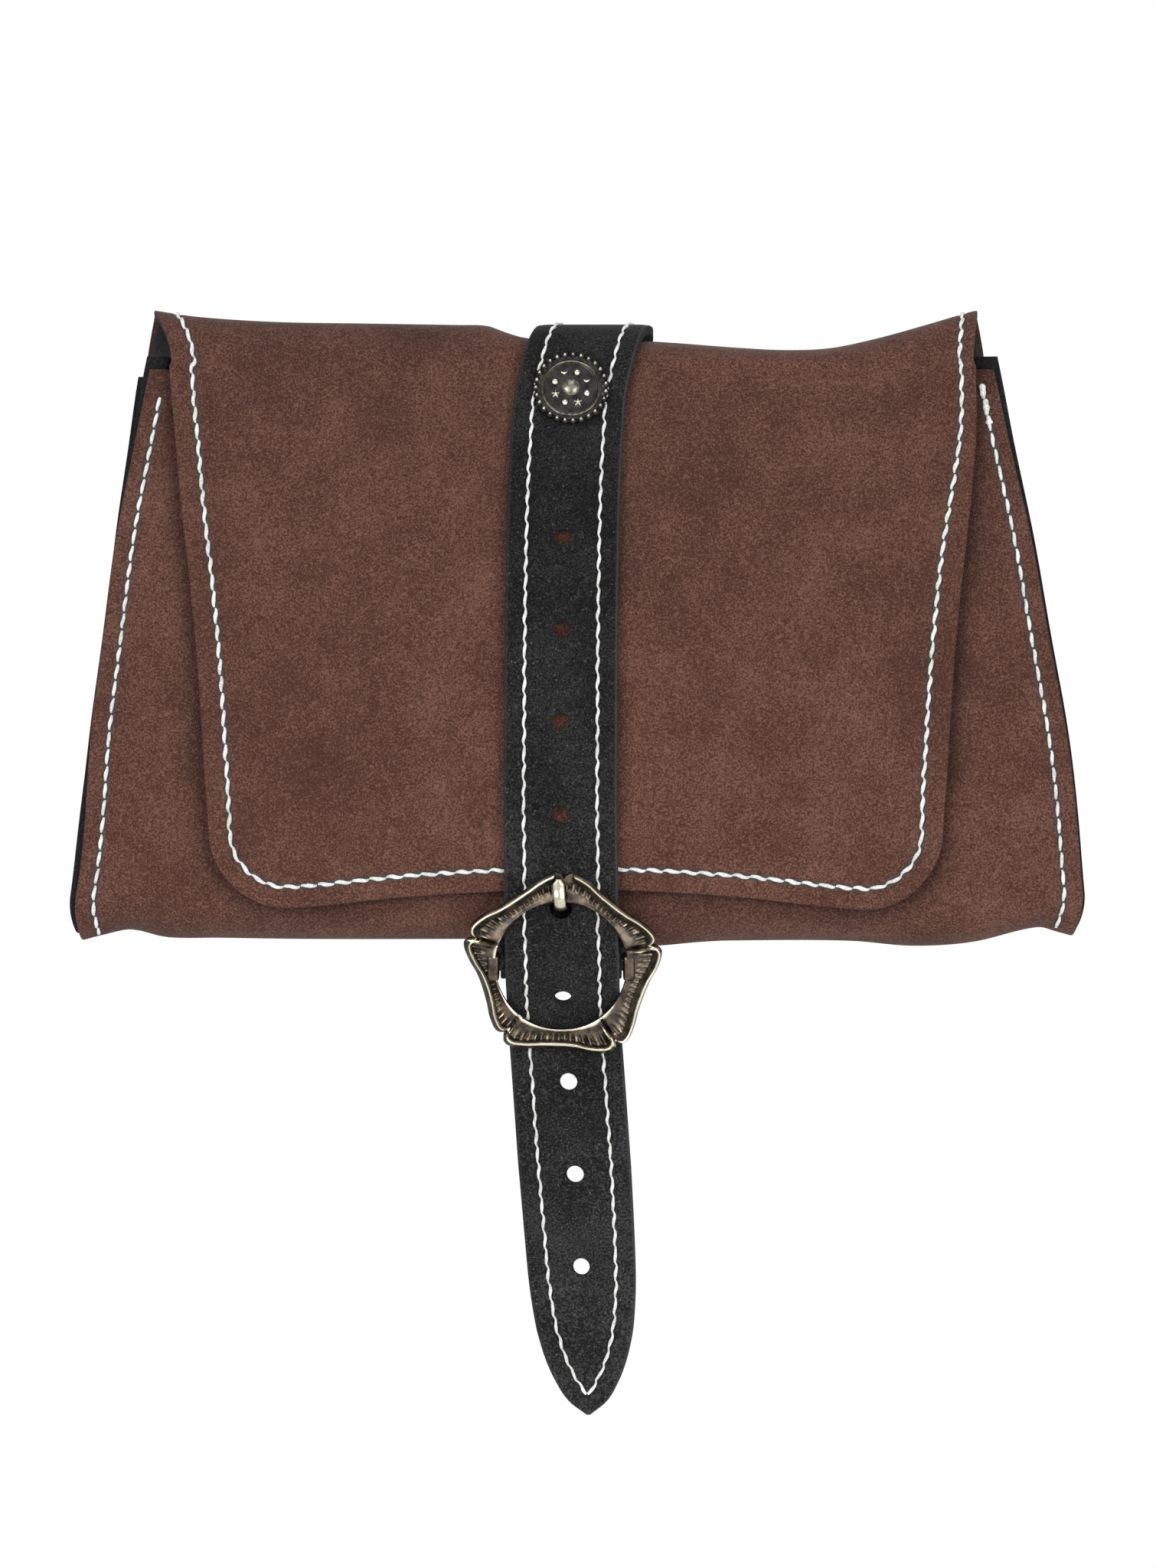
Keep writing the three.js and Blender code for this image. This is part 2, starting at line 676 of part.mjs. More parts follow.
function gussetGeometry(side) {
  const backTop = (frontHeight - seatGap - backCornerRadius) / (foldStart - backCornerRadius);
  const topShare = gussetRise / (frontHeight - frontCornerRadius);
  const backSeam = frontSeam.map((stage) => (stage < 1 ? 5 - stage - (1 - stage) * (1 - backTop) : 5 - stage));
  const frontSeamTopped = frontSeam.map((stage) => (stage === 0 ? -topShare : stage));
  const seamShare = side * (1 - seamInset / bottomHalfWidth);
  const wide = bottomSeam.length - 1;
  const tall = frontSeam.length - 1;
  const outer = skinWall + seatGap;
  // Rows run up from the bottom, columns from the front to the back, with the flange's outer edge round them.
  return wall(tall + 1, wide + 2, (i, j, face) => {
    const inward = outer + face * gussetWall;
    const row = Math.max(i - 1, 0);
    const column = Math.min(Math.max(j - 1, 0), wide);
    const onFlange = i === 0 || j === 0 || j === wide + 2;
    const seam = (stage, out) => {
      const place = skin(stage, out ? side : seamShare, inward);
      place.x += side * (out ? gussetMargin : face * gussetWall);
      return place;
    };
    if (onFlange) {
      const nudge = 0.12;
      if (j === 0) return seam(frontSeamTopped[row] - (i === 1 ? nudge : 0), true);
      if (j === wide + 2) return seam(backSeam[row] + (i === 1 ? nudge : 0), true);
      const atEnd = column === 0 ? nudge : column === wide ? -nudge : 0;
      return seam(bottomSeam[column] + atEnd, true);
    }
    const a = column / wide;
    const b = row / tall;
    const front = seam(frontSeamTopped[row], false);
    const back = seam(backSeam[row], false);
    if (column === 0) return front;
    if (column === wide) return back;
    if (row === 0) return seam(bottomSeam[column], false);
    const low = seam(bottomSeam[column], false);
    const high = seam(frontSeamTopped[tall], false).lerp(seam(backSeam[tall], false), a);
    const place = front.lerp(back, a).add(low.lerp(high, b));
    const cornerLow = seam(1.5, false).lerp(seam(3.5, false), a);
    const cornerHigh = seam(frontSeamTopped[tall], false).lerp(seam(backSeam[tall], false), a);
    place.sub(cornerLow.lerp(cornerHigh, b));
    const folded = follow(gussetFolds, "height", "inward", place.z / frontHeight);
    place.x -= side * gussetFold * folded * Math.sin(Math.PI * a) ** 1.3 * smooth(clamp(b * 3));
    return place;
  });
}

// The buckle strap: from the rivet down the back, under the bottom and round the bar

const tabTop = passBottom - buckleStrapDrop;
const strapBottomZ = skin(2.5, 0, 0).z - seatGap - buckleStrapWall / 2;
const strapBackY = seatGap + buckleStrapWall / 2;
const wrapLine = barRadius + seatGap + buckleStrapWall / 2;
const wrapTurns = [75, 105, 140, 180, 220, 255, 290];
const frontOfBottom = frontCornerRadius - bagDepth;

const buckleStrapPoints = [
  { lean: 0.1, y: strapBackY, z: tabTop },
  { lean: 0.1, y: strapBackY, z: mix(tabTop, backCornerRadius, 0.36) },
  { lean: 0.09, y: strapBackY, z: backCornerRadius * 2.4 },
  { lean: 0.07, y: strapBackY, z: backCornerRadius },
  {
    lean: 0.05,
    y: (backCornerRadius + strapBackY) * Math.SQRT1_2 - backCornerRadius,
    z: backCornerRadius - (backCornerRadius + strapBackY) * Math.SQRT1_2,
  },
  { lean: 0.03, y: -backCornerRadius, z: strapBottomZ },
  { lean: 0.01, y: mix(-backCornerRadius, frontOfBottom, 0.6), z: strapBottomZ },
  { lean: 0.0, y: frontOfBottom - 2, z: strapBottomZ - 0.25 },
  ...wrapTurns.map((degrees) => ({
    lean: 0.0,
    y: barPlace.y + wrapLine * Math.cos(degrees * radians),
    z: barPlace.z + wrapLine * Math.sin(degrees * radians),
  })),
  { lean: 0.0, y: barPlace.y + wrapLine * 2.6, z: strapBottomZ - buckleStrapWall - 2.3 },
  { lean: 0.01, y: frontOfBottom - 1, z: strapBottomZ - buckleStrapWall - 0.9 },
  { lean: 0.02, y: frontOfBottom + turnBack * 0.4, z: strapBottomZ - buckleStrapWall - seatGap },
].map((row) => new THREE.Vector3(strapShift + strapLean * row.lean, row.y, row.z));

function buckleStrapGeometry() {
  const line = new THREE.CatmullRomCurve3(buckleStrapPoints, false, "centripetal");
  line.arcLengthDivisions = 800;
  const length = line.getLength();
  const straight = tabTop - backCornerRadius;
  const rows = [
    ...evenRows(straight, straight / 3),
    ...evenRows(length - straight, 2.6).slice(1).map((row) => row + straight),
  ];
  const shape = strip(line, rows, 2, () => buckleStrapWidth, () => buckleStrapWall);
  const slot = new THREE.BoxGeometry(tongueWidth + 4 * seatGap, 4.6 * wrapLine, 3.6 * wrapLine);
  slot.translate(barPlace.x, barPlace.y, barPlace.z);
  const slotted = asSolid(shape).subtract(asSolid(slot));
  return asGeometry(slotted.subtract(punch(postHole, rivet)));
}

// The ring, drawn flat: the front faces -Y, its own origin at the ring's centre on its back face

// Share through a petal, from 0 to 1, and which height its crest has there: the end steps over the start.
const petalSteps = [0.01, 0.05, 0.095, 0.2, 0.34, 0.5, 0.66, 0.8, 0.905, 0.95, 0.99];

function ringSection(petal, share) {
  const turn = (90 + ringTurn - (petal + share) * (360 / petalCount)) * radians;
  const outer = mix(petalMiddleRadius, petalCornerRadius, follow(petalOutline, "share", "radius", share));
  const overlap = mix(0.86, 1.08, smooth(share));
  const atTop = (petal === 0 && share < notchShare) || (petal === petalCount - 1 && share > 1 - notchShare);
  const crest = atTop ? notchHeight : petalCrest * overlap;
  const lip = atTop ? notchHeight : lipHeight;
  const valley = mix(ringInnerRadius, outer, 0.38);
  const section = [
    { radius: ringInnerRadius, front: 0 },
    { radius: ringInnerRadius, front: lip * 0.8 },
    { radius: ringInnerRadius + innerLipWidth, front: lip },
    { radius: valley, front: Math.min(crest, lip * 0.75) },
    { radius: outer - rimWidth, front: crest * 0.97 },
    { radius: outer - rimWidth * 0.6, front: crest },
    { radius: outer, front: crest * 0.5 },
    { radius: outer - rimWidth * 0.15, front: 0 },
  ];
  return section.map(
    ({ radius, front }) => new THREE.Vector3(radius * Math.cos(turn), -front, radius * Math.sin(turn)),
  );
}

function ringGeometry() {
  const sections = [];
  for (let petal = 0; petal < petalCount; petal += 1)
    for (const share of petalSteps) sections.push(ringSection(petal, share));
  const sides = sections[0].length;
  const points = sections.flat();
  const index = [];
  for (let i = 0; i < sections.length; i += 1)
    for (let j = 0; j < sides; j += 1) {
      const next = (i + 1) % sections.length;
      const after = (j + 1) % sides;
      const [a, b, c, d] = [i * sides + j, next * sides + j, next * sides + after, i * sides + after];
      index.push(a, b, c, a, c, d);
    }
  return closed(points, index);
}

// The bar lies behind the ring, on a lug at each side.
function buckleGeometry() {
  let solid = asSolid(ringGeometry());
  const halfBar = ringInnerRadius + lugWidth * 0.3;
  const barBack = ringSetForward * Math.cos(ringTilt * radians);
  const barLow = -ringSetForward * Math.sin(ringTilt * radians);
  const barFrom = new THREE.Vector3(-halfBar, barBack, barLow);
  solid = solid.add(asSolid(rod(barRadius, barFrom, new THREE.Vector3(1, 0, 0), 2 * halfBar)));
  for (const side of [-1, 1]) {
    const lug = new THREE.BoxGeometry(lugWidth, barBack + barRadius + lipHeight * 0.7, lugHeight);
    lug.translate(side * lugPlace, (barBack + barRadius - lipHeight * 0.7) / 2, barLow);
    solid = solid.add(asSolid(lug));
  }
  return asGeometry(solid);
}

// The tongue: an open eye round the bar, then up through the strap and over the ring's top notch

function tongueGeometry() {
  const eye = barRadius + seatGap + tongueWall / 2;
  const notchZ = barPlace.z + (petalCornerRadius - tongueInset) * Math.cos(ringTilt * radians);
  const lipZ = barPlace.z + ringInnerRadius * Math.cos(ringTilt * radians);
  const overRing = (z) => ringBack(z) - notchHeight - seatGap - tongueWall / 2;
  const strapAt = strapPlace(tongueHoleAlong).point;
  const points = [
    ...[85, 125, 165, 205, 245, 285, 325, 360].map((degrees) => ({
      y: barPlace.y + eye * Math.cos(degrees * radians),
      z: barPlace.z + eye * Math.sin(degrees * radians),
    })),
    { y: barPlace.y + eye, z: barPlace.z + eye * 2 },
    { y: strapAt.y + strapWall * 1.25, z: strapAt.z - 4.2 },
    { y: strapAt.y + strapWall * 0.5, z: strapAt.z - 0.6 },
    { y: strapAt.y - strapWall * 0.5, z: strapAt.z + 0.5 },
    { y: overRing(lipZ) + 1.3, z: lipZ - tongueWall },
    { y: overRing(lipZ) - 0.6, z: lipZ + 0.4 },
    { y: overRing(mix(lipZ, notchZ, 0.5)) - 0.1, z: mix(lipZ, notchZ, 0.5) },
    { y: overRing(notchZ), z: notchZ },
  ].map((row) => new THREE.Vector3(barPlace.x, row.y, row.z));
  const line = new THREE.CatmullRomCurve3(points, false, "centripetal");
  const length = line.getLength();
  const width = (along) => tongueWidth * Math.min(1, 0.7 + (length - along) * 0.12);
  return strip(line, evenRows(length, 1.6), 2, width, () => tongueWall);
}

// The concho, drawn facing +Y with the strap's face at y = 0, then turned onto the strap

function conchoGeometry() {
  const stack = strapWall + seatGap + foldLayers - flapAir + 2 * seatGap;
  const disc = [
    { radius: 0, y: -stack - innerHeadWall },
    { radius: innerHeadRadius, y: -stack - innerHeadWall },
    { radius: innerHeadRadius, y: -stack },
    { radius: postRadius, y: -stack },
    { radius: postRadius, y: seatGap },
    { radius: conchoRadius - beadRadius * 0.6, y: seatGap },
    { radius: conchoRadius - beadRadius * 0.6, y: seatGap + conchoWall * 0.6 },
    { radius: conchoRidgeRadius + 0.9, y: seatGap + conchoWall * 0.8 },
    { radius: conchoRidgeRadius + 0.4, y: seatGap + conchoWall + 0.6 },
    { radius: conchoRidgeRadius - 0.4, y: seatGap + conchoWall + 0.6 },
    { radius: conchoRidgeRadius - 0.9, y: seatGap + conchoWall },
    { radius: conchoDomeRadius, y: seatGap + conchoWall },
    { radius: conchoDomeRadius * 0.8, y: seatGap + conchoWall + 0.9 },
    { radius: conchoDomeRadius * 0.4, y: seatGap + conchoWall + 1.4 },
    { radius: 0, y: seatGap + conchoWall + 1.5 },
  ].map(({ radius, y }) => new THREE.Vector2(radius, y));
  let solid = asSolid(new THREE.LatheGeometry(disc, 20));
  const stud = (radius, ring, turn, height) => {
    const ball = new THREE.SphereGeometry(radius, 6, 4);
    ball.translate(ring * Math.cos(turn), height, ring * Math.sin(turn));
    solid = solid.add(asSolid(ball));
  };
  for (let k = 0; k < beadCount; k += 1)
    stud(beadRadius, conchoRadius - beadRadius, (k / beadCount) * 2 * Math.PI, seatGap + beadRadius);
  for (let k = 0; k < motifCount; k += 1)
    stud(motifSize, motifRadius, ((k + 0.5) / motifCount) * 2 * Math.PI, seatGap + conchoWall);
  return asGeometry(solid);
}

// The rivet, drawn facing +Y with the bag's back face at y = 0

function rivetGeometry() {
  const outer = seatY + strapWall / 2 + seatGap;
  const inner = -skinWall - seatGap;
  const profile = [
    { radius: 0, y: inner - innerHeadWall },
    { radius: innerHeadRadius, y: inner - innerHeadWall },
    { radius: innerHeadRadius, y: inner },
    { radius: postRadius, y: inner },
    { radius: postRadius, y: outer },
    { radius: rivetHeadRadius, y: outer },
    { radius: rivetHeadRadius * 0.85, y: outer + rivetHeadWall * 0.7 },
    { radius: 0, y: outer + rivetHeadWall },
  ].map(({ radius, y }) => new THREE.Vector2(radius, y));
  return new THREE.LatheGeometry(profile, 16);
}

// Materials and assembly

const suedeBrown = { color: 0x644640, roughness: 0.95, metalness: 0 };
const suedeBlack = { color: 0x2b2a2b, roughness: 0.95, metalness: 0 };
const agedBrass = { color: 0x7d6a48, roughness: 0.35, metalness: 1 };

const pouch = new THREE.Group();
const made = new THREE.Group();
pouch.add(made);

function piece(name, geometry, finish) {
  const mesh = new THREE.Mesh(geometry, new THREE.MeshStandardMaterial(finish));
  mesh.name = name;
  made.add(mesh);
  return mesh;
}

piece("body", bodyGeometry(), suedeBrown);
piece("flap_lining", liningGeometry(), suedeBlack);
piece("gusset_left", gussetGeometry(-1), suedeBlack);
piece("gusset_right", gussetGeometry(1), suedeBlack);
piece("strap", strapGeometry(), suedeBlack);
piece("buckle_strap", buckleStrapGeometry(), suedeBlack);

const buckle = piece("buckle_frame", buckleGeometry(), agedBrass);
buckle.position.set(barPlace.x, ringBack(barPlace.z), barPlace.z);
buckle.rotation.x = ringTilt * radians;
piece("buckle_tongue", tongueGeometry(), agedBrass);

const conchoMesh = piece("concho", conchoGeometry(), agedBrass);
conchoMesh.position.copy(concho.point).addScaledVector(concho.out, strapWall / 2);
conchoMesh.quaternion.setFromUnitVectors(new THREE.Vector3(0, 1, 0), concho.out);

const rivetMesh = piece("back_rivet", rivetGeometry(), agedBrass);
rivetMesh.position.set(rivet.point.x, 0, rivet.point.z);

made.position.set(0, -beltSpace / 2, -passTop);

export default pouch;
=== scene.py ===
"""The looks of a suede belt pouch: bag, strap, thread, petalled ring buckle and concho.

Lengths are millimetres until a piece is finished, with z = 0 at the bag's bottom, y = 0 at its back
face and the front facing -Y. row_frame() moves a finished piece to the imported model's own frame.
"""

import math

import bmesh
import bpy
import numpy as np
from mathutils import Matrix, Vector, kdtree


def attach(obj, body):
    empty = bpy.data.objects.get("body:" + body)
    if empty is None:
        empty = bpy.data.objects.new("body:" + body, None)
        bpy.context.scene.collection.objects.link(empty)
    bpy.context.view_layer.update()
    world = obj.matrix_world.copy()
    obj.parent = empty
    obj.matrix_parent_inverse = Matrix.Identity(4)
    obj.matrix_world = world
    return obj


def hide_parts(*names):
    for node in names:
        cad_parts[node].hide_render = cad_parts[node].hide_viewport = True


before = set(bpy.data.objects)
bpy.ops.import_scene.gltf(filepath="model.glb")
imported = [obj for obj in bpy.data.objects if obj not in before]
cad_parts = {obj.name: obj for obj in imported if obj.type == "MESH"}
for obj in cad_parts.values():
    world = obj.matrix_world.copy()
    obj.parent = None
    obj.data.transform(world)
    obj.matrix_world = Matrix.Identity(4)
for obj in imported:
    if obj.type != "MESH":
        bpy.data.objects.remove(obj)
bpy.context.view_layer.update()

MM = 0.001

# The bag. All sizes are the solids' own, or up to 2.5 mm nearer to the real shape.
SEAT_GAP = 0.3
SKIN_WALL = 1.6
FRONT_HEIGHT = 155
MOUTH_DIP = 12
FOLD_START = 155.5
FOLD_RISE = 16.5
BOTTOM_HALF_WIDTH = 135
FOLD_HALF_WIDTH = 113.3
BACK_TOP_HALF_WIDTH = 116.6
FOLD_SHIFT = -2.8
FRONT_LEAN = 0.35
FLAP_LEAN = 0.3
BAG_DEPTH = 38
FRONT_CORNER_RADIUS = 12
BACK_CORNER_RADIUS = 10
BOTTOM_LINE_REACH = 0.4
SWELL_DEPTH = 0.35

FLAP_HALF_WIDTH = 109.3
FLAP_EDGE_HEIGHT = 8
FLAP_CORNER_RADIUS = 21
FLAP_AIR = 0.8
FLAP_LOFT = 1.2

LINING_WALL = 1.0
LINING_INSET = 0.9
FOLD_LAYERS = SKIN_WALL + SEAT_GAP + LINING_WALL + FLAP_AIR

GUSSET_WALL = 1.4
GUSSET_REACH = 2.0
GUSSET_FLANGE = 0.09
SEAM_INSET = 5
GUSSET_FOLD = 8
GUSSET_RISE = 3.8

# The straps
STRAP_WIDTH = 30.4
STRAP_WALL = 3.0
STRAP_SHIFT = -3.9
TAIL_LENGTH = 121.5
TIP_LENGTH = 45
TIP_WIDTH = 0.8
HOLE_RADIUS = 2.3
HOLE_PITCH = 25
HOLES_EACH_WAY = 4
LOOP_CLEARANCE = 1.4
BELT_SPACE = 7
BELT_PASS_HEIGHT = 60
STRAP_SEAT = 44
STRAP_LEAN = 10
TAIL_SWING = 7.3
CROWN_DEPTH = 2.2
STRAP_GROOVE_DEPTH = 0.32
STRAP_EDGE_DROP = 0.22

BUCKLE_STRAP_WALL = 1.8
TURN_BACK = 20
BUCKLE_STRAP_DROP = 14
TONGUE_SLOT_HALF_WIDTH = 2.5
RIVET_EDGE = 14
RIVET_X = STRAP_SHIFT + 1.1

# The metal
BAR_RADIUS = 1.75
BAR_DROP = 6.7
BAR_REACH = 2.0
RING_SET_FORWARD = 3.45
RING_TILT = math.radians(12)
RING_INNER_RADIUS = 17.5
RING_STEPS = 360
RING_SIDES = 54
PETAL_CORNER_RADIUS = 26.8
PETAL_CREST = 3.2
FLUTES = 17
FLUTE_DEPTH = 0.75
NOTCH_TURN = 88.0
NOTCH_HEIGHT = 1.3
NOTCH_HALF_WIDTH = 2.3
LUG_HEIGHT = 7
LUG_WIDTH = 3.2
LUG_FORWARD = 1.6
LUG_PLACE = RING_INNER_RADIUS + LUG_WIDTH * 0.2
BUCKLE_STRAP_WIDTH = 2 * (LUG_PLACE - LUG_WIDTH / 2 - 0.35)
TONGUE_WIDTH = 4.0
TONGUE_WALL = 1.7
TONGUE_INSET = 3.1
TONGUE_HOLE_EASE = 0.65

CONCHO_HEIGHT = 147.7
CONCHO_RADIUS = 10.5
CONCHO_WALL = 1.3
BEAD_COUNT = 27
BEAD_RADIUS = 1.0
CONCHO_RIDGE_RADIUS = 7.6
CONCHO_DOME_RADIUS = 2.6
MOTIF_RADIUS = 4.6
MOTIF_TURN = 0.533

POST_RADIUS = 1.8
POST_HOLE_RADIUS = POST_RADIUS + SEAT_GAP
INNER_HEAD_RADIUS = 4
INNER_HEAD_WALL = 0.7
RIVET_HEAD_RADIUS = 5
RIVET_HEAD_WALL = 1.2

# Sewing
STITCH_PITCH = 4.65
LONG_STITCH = 0.7
FLAP_STITCH_INSET = 5.7
FLAP_STITCH_LEFT = 6.2
FLAP_STITCH_RIGHT = 6.4
FLAP_STITCH_TOP_RIGHT = 4.0
FRONT_STITCH_INSET = 5.1
FRONT_STITCH_TOPS = {-1: 0.055, 1: 0.03}
STRAP_STITCH_INSET = 5.4
GROOVE_DEPTH = 0.45
GROOVE_WIDTH = 0.8

# The bag's skin is a strip of stretches, from the front's upper edge down, round and over the top.
FRONT, FRONT_CORNER, BOTTOM, BACK_CORNER, BACK, FOLD, FLAP = range(7)
FLAP_END = FLAP + 0.9999

# Half the width at which the skin and its lining are drawn flat
SHARE_WIDTH = 120.0


def table(columns, *rows):
    """A table's rows as dictionaries, from its columns' names and each row's figures."""
    names = columns.split()
    return [dict(zip(names, row)) for row in rows]


FRONT_WIDTHS = table(
    "height width",
    (-0.1, 0.985),
    (0.0, 0.996),
    (0.06, 1.006),
    (0.12, 1.0),
    (0.19, 0.9926),
    (0.27, 0.983),
    (0.38, 0.968),
    (0.52, 0.9437),
    (0.7, 0.914),
    (0.87, 0.8785),
    (1.0, 0.854),
    (1.1, 0.83),
)

DEPTHS = table(
    "height middle side",
    (0.0, 1.0, 0.76),
    (0.13, 1.0, 0.76),
    (0.3, 0.95, 0.73),
    (0.5, 0.86, 0.68),
    (0.71, 0.76, 0.62),
    (0.84, 0.68, 0.58),
    (0.935, 0.6, 0.54),
    (1.0, 0.52, 0.51),
    (1.1, 0.44, 0.48),
)

FOLD_LINE = table(
    "across rise",
    (-1.0, 1.0),
    (-0.89, 0.89),
    (-0.7, 0.806),
    (-0.48, 0.78),
    (-0.26, 0.755),
    (-0.19, 0.74),
    (-0.15, 0.64),
    (-0.1, 0.54),
    (-0.03, 0.505),
    (0.1, 0.49),
    (0.22, 0.473),
    (0.41, 0.376),
    (0.53, 0.333),
    (0.64, 0.364),
    (0.75, 0.52),
    (0.86, 0.727),
    (0.98, 0.97),
    (1.0, 1.0),
)

BOTTOM_LINE = table(
    "across rise",
    (-1.0, -0.1),
    (-0.96, 0.02),
    (-0.9, 0.15),
    (-0.83, -0.02),
    (-0.72, -0.03),
    (-0.55, -0.05),
    (0.09, -0.06),
    (0.12, -0.18),
    (0.17, -0.19),
    (0.24, -0.12),
    (0.31, -0.08),
    (0.55, -0.09),
    (0.68, -0.21),
    (0.8, -0.13),
    (0.93, 0.2),
    (0.975, 0.08),
    (1.0, 0.0),
)

# How far the black side walls reach out past the front's edges, by height
MARGINS = table(
    "height left right",
    (0.0, 1.2, 0.6),
    (0.1, 1.9, 0.7),
    (0.2, 1.8, 0.7),
    (0.29, 1.0, 0.7),
    (0.38, 0.5, 0.8),
    (0.7, 0.4, 1.0),
    (0.87, 0.9, 1.5),
    (1.0, 1.7, 2.0),
)

# How far the bag sways to the right of its middle line, by height
SWAY = table(
    "height right",
    (0.0, 0.1),
    (0.17, 0.8),
    (0.32, 1.2),
    (0.6, 0.7),
    (1.0, 0.0),
)

FLAP_WIDTHS = table(
    "height width",
    (0.0, 0.897),
    (0.19, 0.905),
    (0.3, 0.917),
    (0.45, 0.932),
    (0.6, 0.953),
    (0.75, 0.979),
    (0.9, 0.999),
    (1.0, 1.006),
)

FLAP_EDGE = table(
    "across rise",
    (-1.0, 0.0),
    (-0.75, 0.06),
    (-0.45, 0.42),
    (-0.15, 0.62),
    (0.15, 0.62),
    (0.45, 0.4),
    (0.75, 0.0),
    (1.0, -0.05),
)

GUSSET_FOLDS = table(
    "height inward",
    (0.0, 0.35),
    (0.4, 0.6),
    (1.0, 1.0),
)

# The flat sheets of skin and lining: each part's first stage, its length and its lines' step
SKIN_SHEET = table(
    "stage length step",
    (FRONT, 143, 2.1),
    (FRONT_CORNER, 18, 1.8),
    (BOTTOM, 16, 4.0),
    (BACK_CORNER, 16, 2.6),
    (BACK, 145, 5.0),
    (FOLD, 62, 1.8),
    (FLAP, 130, 2.1),
    (FLAP + 0.88, 18, 0.55),
    (FLAP_END, 0, 1.0),
)
LINING_SHEET = table(
    "stage length step",
    (FOLD, 62, 2.2),
    (FLAP, 130, 4.0),
    (FLAP + 0.88, 18, 1.2),
    (FLAP_END - LINING_INSET / FRONT_HEIGHT, 0, 1.0),
)

# The strap's tail from its tip up: how far it swings right, stands back and hangs down
TAIL_PATH = table(
    "swing behind down",
    (1.0, 1.2, 1.0),
    (0.863, 1.2, 0.8),
    (0.671, 1.0, 0.6),
    (0.438, 0.6, 0.4),
    (0.26, 0.1, 0.25),
)

# The strap on the flap from below: how far it leans right, by height
FLAP_PATH = table(
    "height lean",
    (0.13, 0.0),
    (0.22, -0.02),
    (0.35, -0.01),
    (0.5, 0.0),
    (0.65, 0.03),
    (0.78, 0.08),
    (0.88, 0.16),
    (0.95, 0.25),
)

TIP_SHAPE = table(
    "along width",
    (0.0, 0.0),
    (0.082, 0.32),
    (0.196, 0.54),
    (0.31, 0.69),
    (0.42, 0.79),
    (0.535, 0.865),
    (0.76, 0.94),
    (1.0, 0.97),
    (1.5, 1.0),
)

# How far the strap's edges bend back behind the ring, by how far below the bar it is
CROWNS = table(
    "below bend",
    (-0.1, 0.0),
    (0.15, 0.0),
    (0.24, 0.12),
    (0.36, 0.6),
    (0.48, 1.0),
    (1.0, 0.9),
    (1.6, 0.5),
    (2.6, 0.12),
    (4.0, 0.0),
)

# Lines of the strap's flat sheet from beside its sewn line out to near its edge
STRAP_SEAM_LINES = (8.7, 9.1, 9.45, 9.8, 10.15, 10.5, 10.9, 11.5, 12.2, 12.9, 13.6, 14.3, 14.8)

# Petals of the ring, clockwise from the notch: where each starts and ends in degrees, the radius at
# both corners and the middle, how far its ends are turned in as a lip, the rim's width and how far
# out over the rim its crest lies
PETALS = table(
    "from to first middle last lip end_lip rim crest",
    (NOTCH_TURN, 13.5, 25.6, 22.3, 26.5, 0.0, 0.0, 2.9, 0.8),
    (13.5, -54.5, 27.2, 23.6, 27.2, 1.0, 0.0, 2.8, 0.76),
    (-54.5, -129.0, 27.4, 23.0, 26.2, 1.0, 0.0, 2.6, 0.34),
    (-129.0, -199.0, 24.9, 21.9, 26.7, 0.0, 1.0, 2.5, 0.3),
    (-199.0, NOTCH_TURN - 360, 26.6, 22.6, 25.6, 0.0, 0.0, 2.9, 0.78),
)

# Outline of a petal, as a share of the way from its middle's radius to its corner's
PETAL_OUTLINE = table(
    "share radius",
    (0.0, 0.5),
    (0.03, 0.82),
    (0.08, 1.0),
    (0.2, 0.66),
    (0.34, 0.16),
    (0.5, 0.0),
    (0.66, 0.16),
    (0.8, 0.62),
    (0.92, 1.0),
    (0.97, 0.88),
    (1.0, 0.5),
)

# Section of the ring, once round: share of the band inside the rim, share of the rim, height
RING_SECTION = table(
    "turn band rim front",
    (0.0, 0.0, 0.0, 0.0),
    (0.05, 0.0, 0.0, 0.34),
    (0.09, 0.06, 0.0, 0.5),
    (0.13, 0.18, 0.0, 0.46),
    (0.22, 0.45, 0.0, 0.33),
    (0.34, 0.82, 0.0, 0.36),
    (0.42, 1.0, 0.0, 0.44),
    (0.47, 1.0, 0.1, 0.76),
    (0.52, 1.0, 0.28, 0.95),
    (0.58, 1.0, 0.5, 1.0),
    (0.64, 1.0, 0.74, 0.9),
    (0.7, 1.0, 0.93, 0.62),
    (0.76, 1.0, 1.0, 0.28),
    (0.81, 1.0, 0.93, 0.0),
    (0.92, 0.4, 0.0, 0.0),
    (1.0, 0.0, 0.0, 0.0),
)


def follow(rows, column, at):
    """A smooth value through a table's rows, read where the first column is at."""
    position = next(iter(rows[0]))
    places = np.array([row[position] for row in rows], float)
    values = np.array([row[column] for row in rows], float)
    slopes = np.empty(len(rows))
    slopes[1:-1] = (values[2:] - values[:-2]) / (places[2:] - places[:-2])
    slopes[0] = (values[1] - values[0]) / (places[1] - places[0])
    slopes[-1] = (values[-1] - values[-2]) / (places[-1] - places[-2])
    at = np.clip(at, places[0], places[-1])
    i = np.clip(np.searchsorted(places, at, side="right") - 1, 0, len(rows) - 2)
    step = places[i + 1] - places[i]
    t = (at - places[i]) / step
    bend = slopes[i] * t * (1 - t) ** 2 + slopes[i + 1] * t * t * (t - 1)
    return values[i] + bend * step + (values[i + 1] - values[i]) * smooth(t)


def mix(a, b, t):
    return a + (b - a) * t


def clamp(t):
    return np.clip(t, 0, 1)


def smooth(t):
    return t * t * (3 - 2 * t)


def gently(t):
    """Smooth from 0 to 1 and level beyond."""
    return smooth(clamp(t))


def ease(low, high, value):
    """0 below low, 1 above high and smooth between them."""
    return gently((value - low) / (high - low))


def bell(distance, width):
    """1 at no distance, falling off over a width."""
    return np.exp(-((distance / width) ** 2))


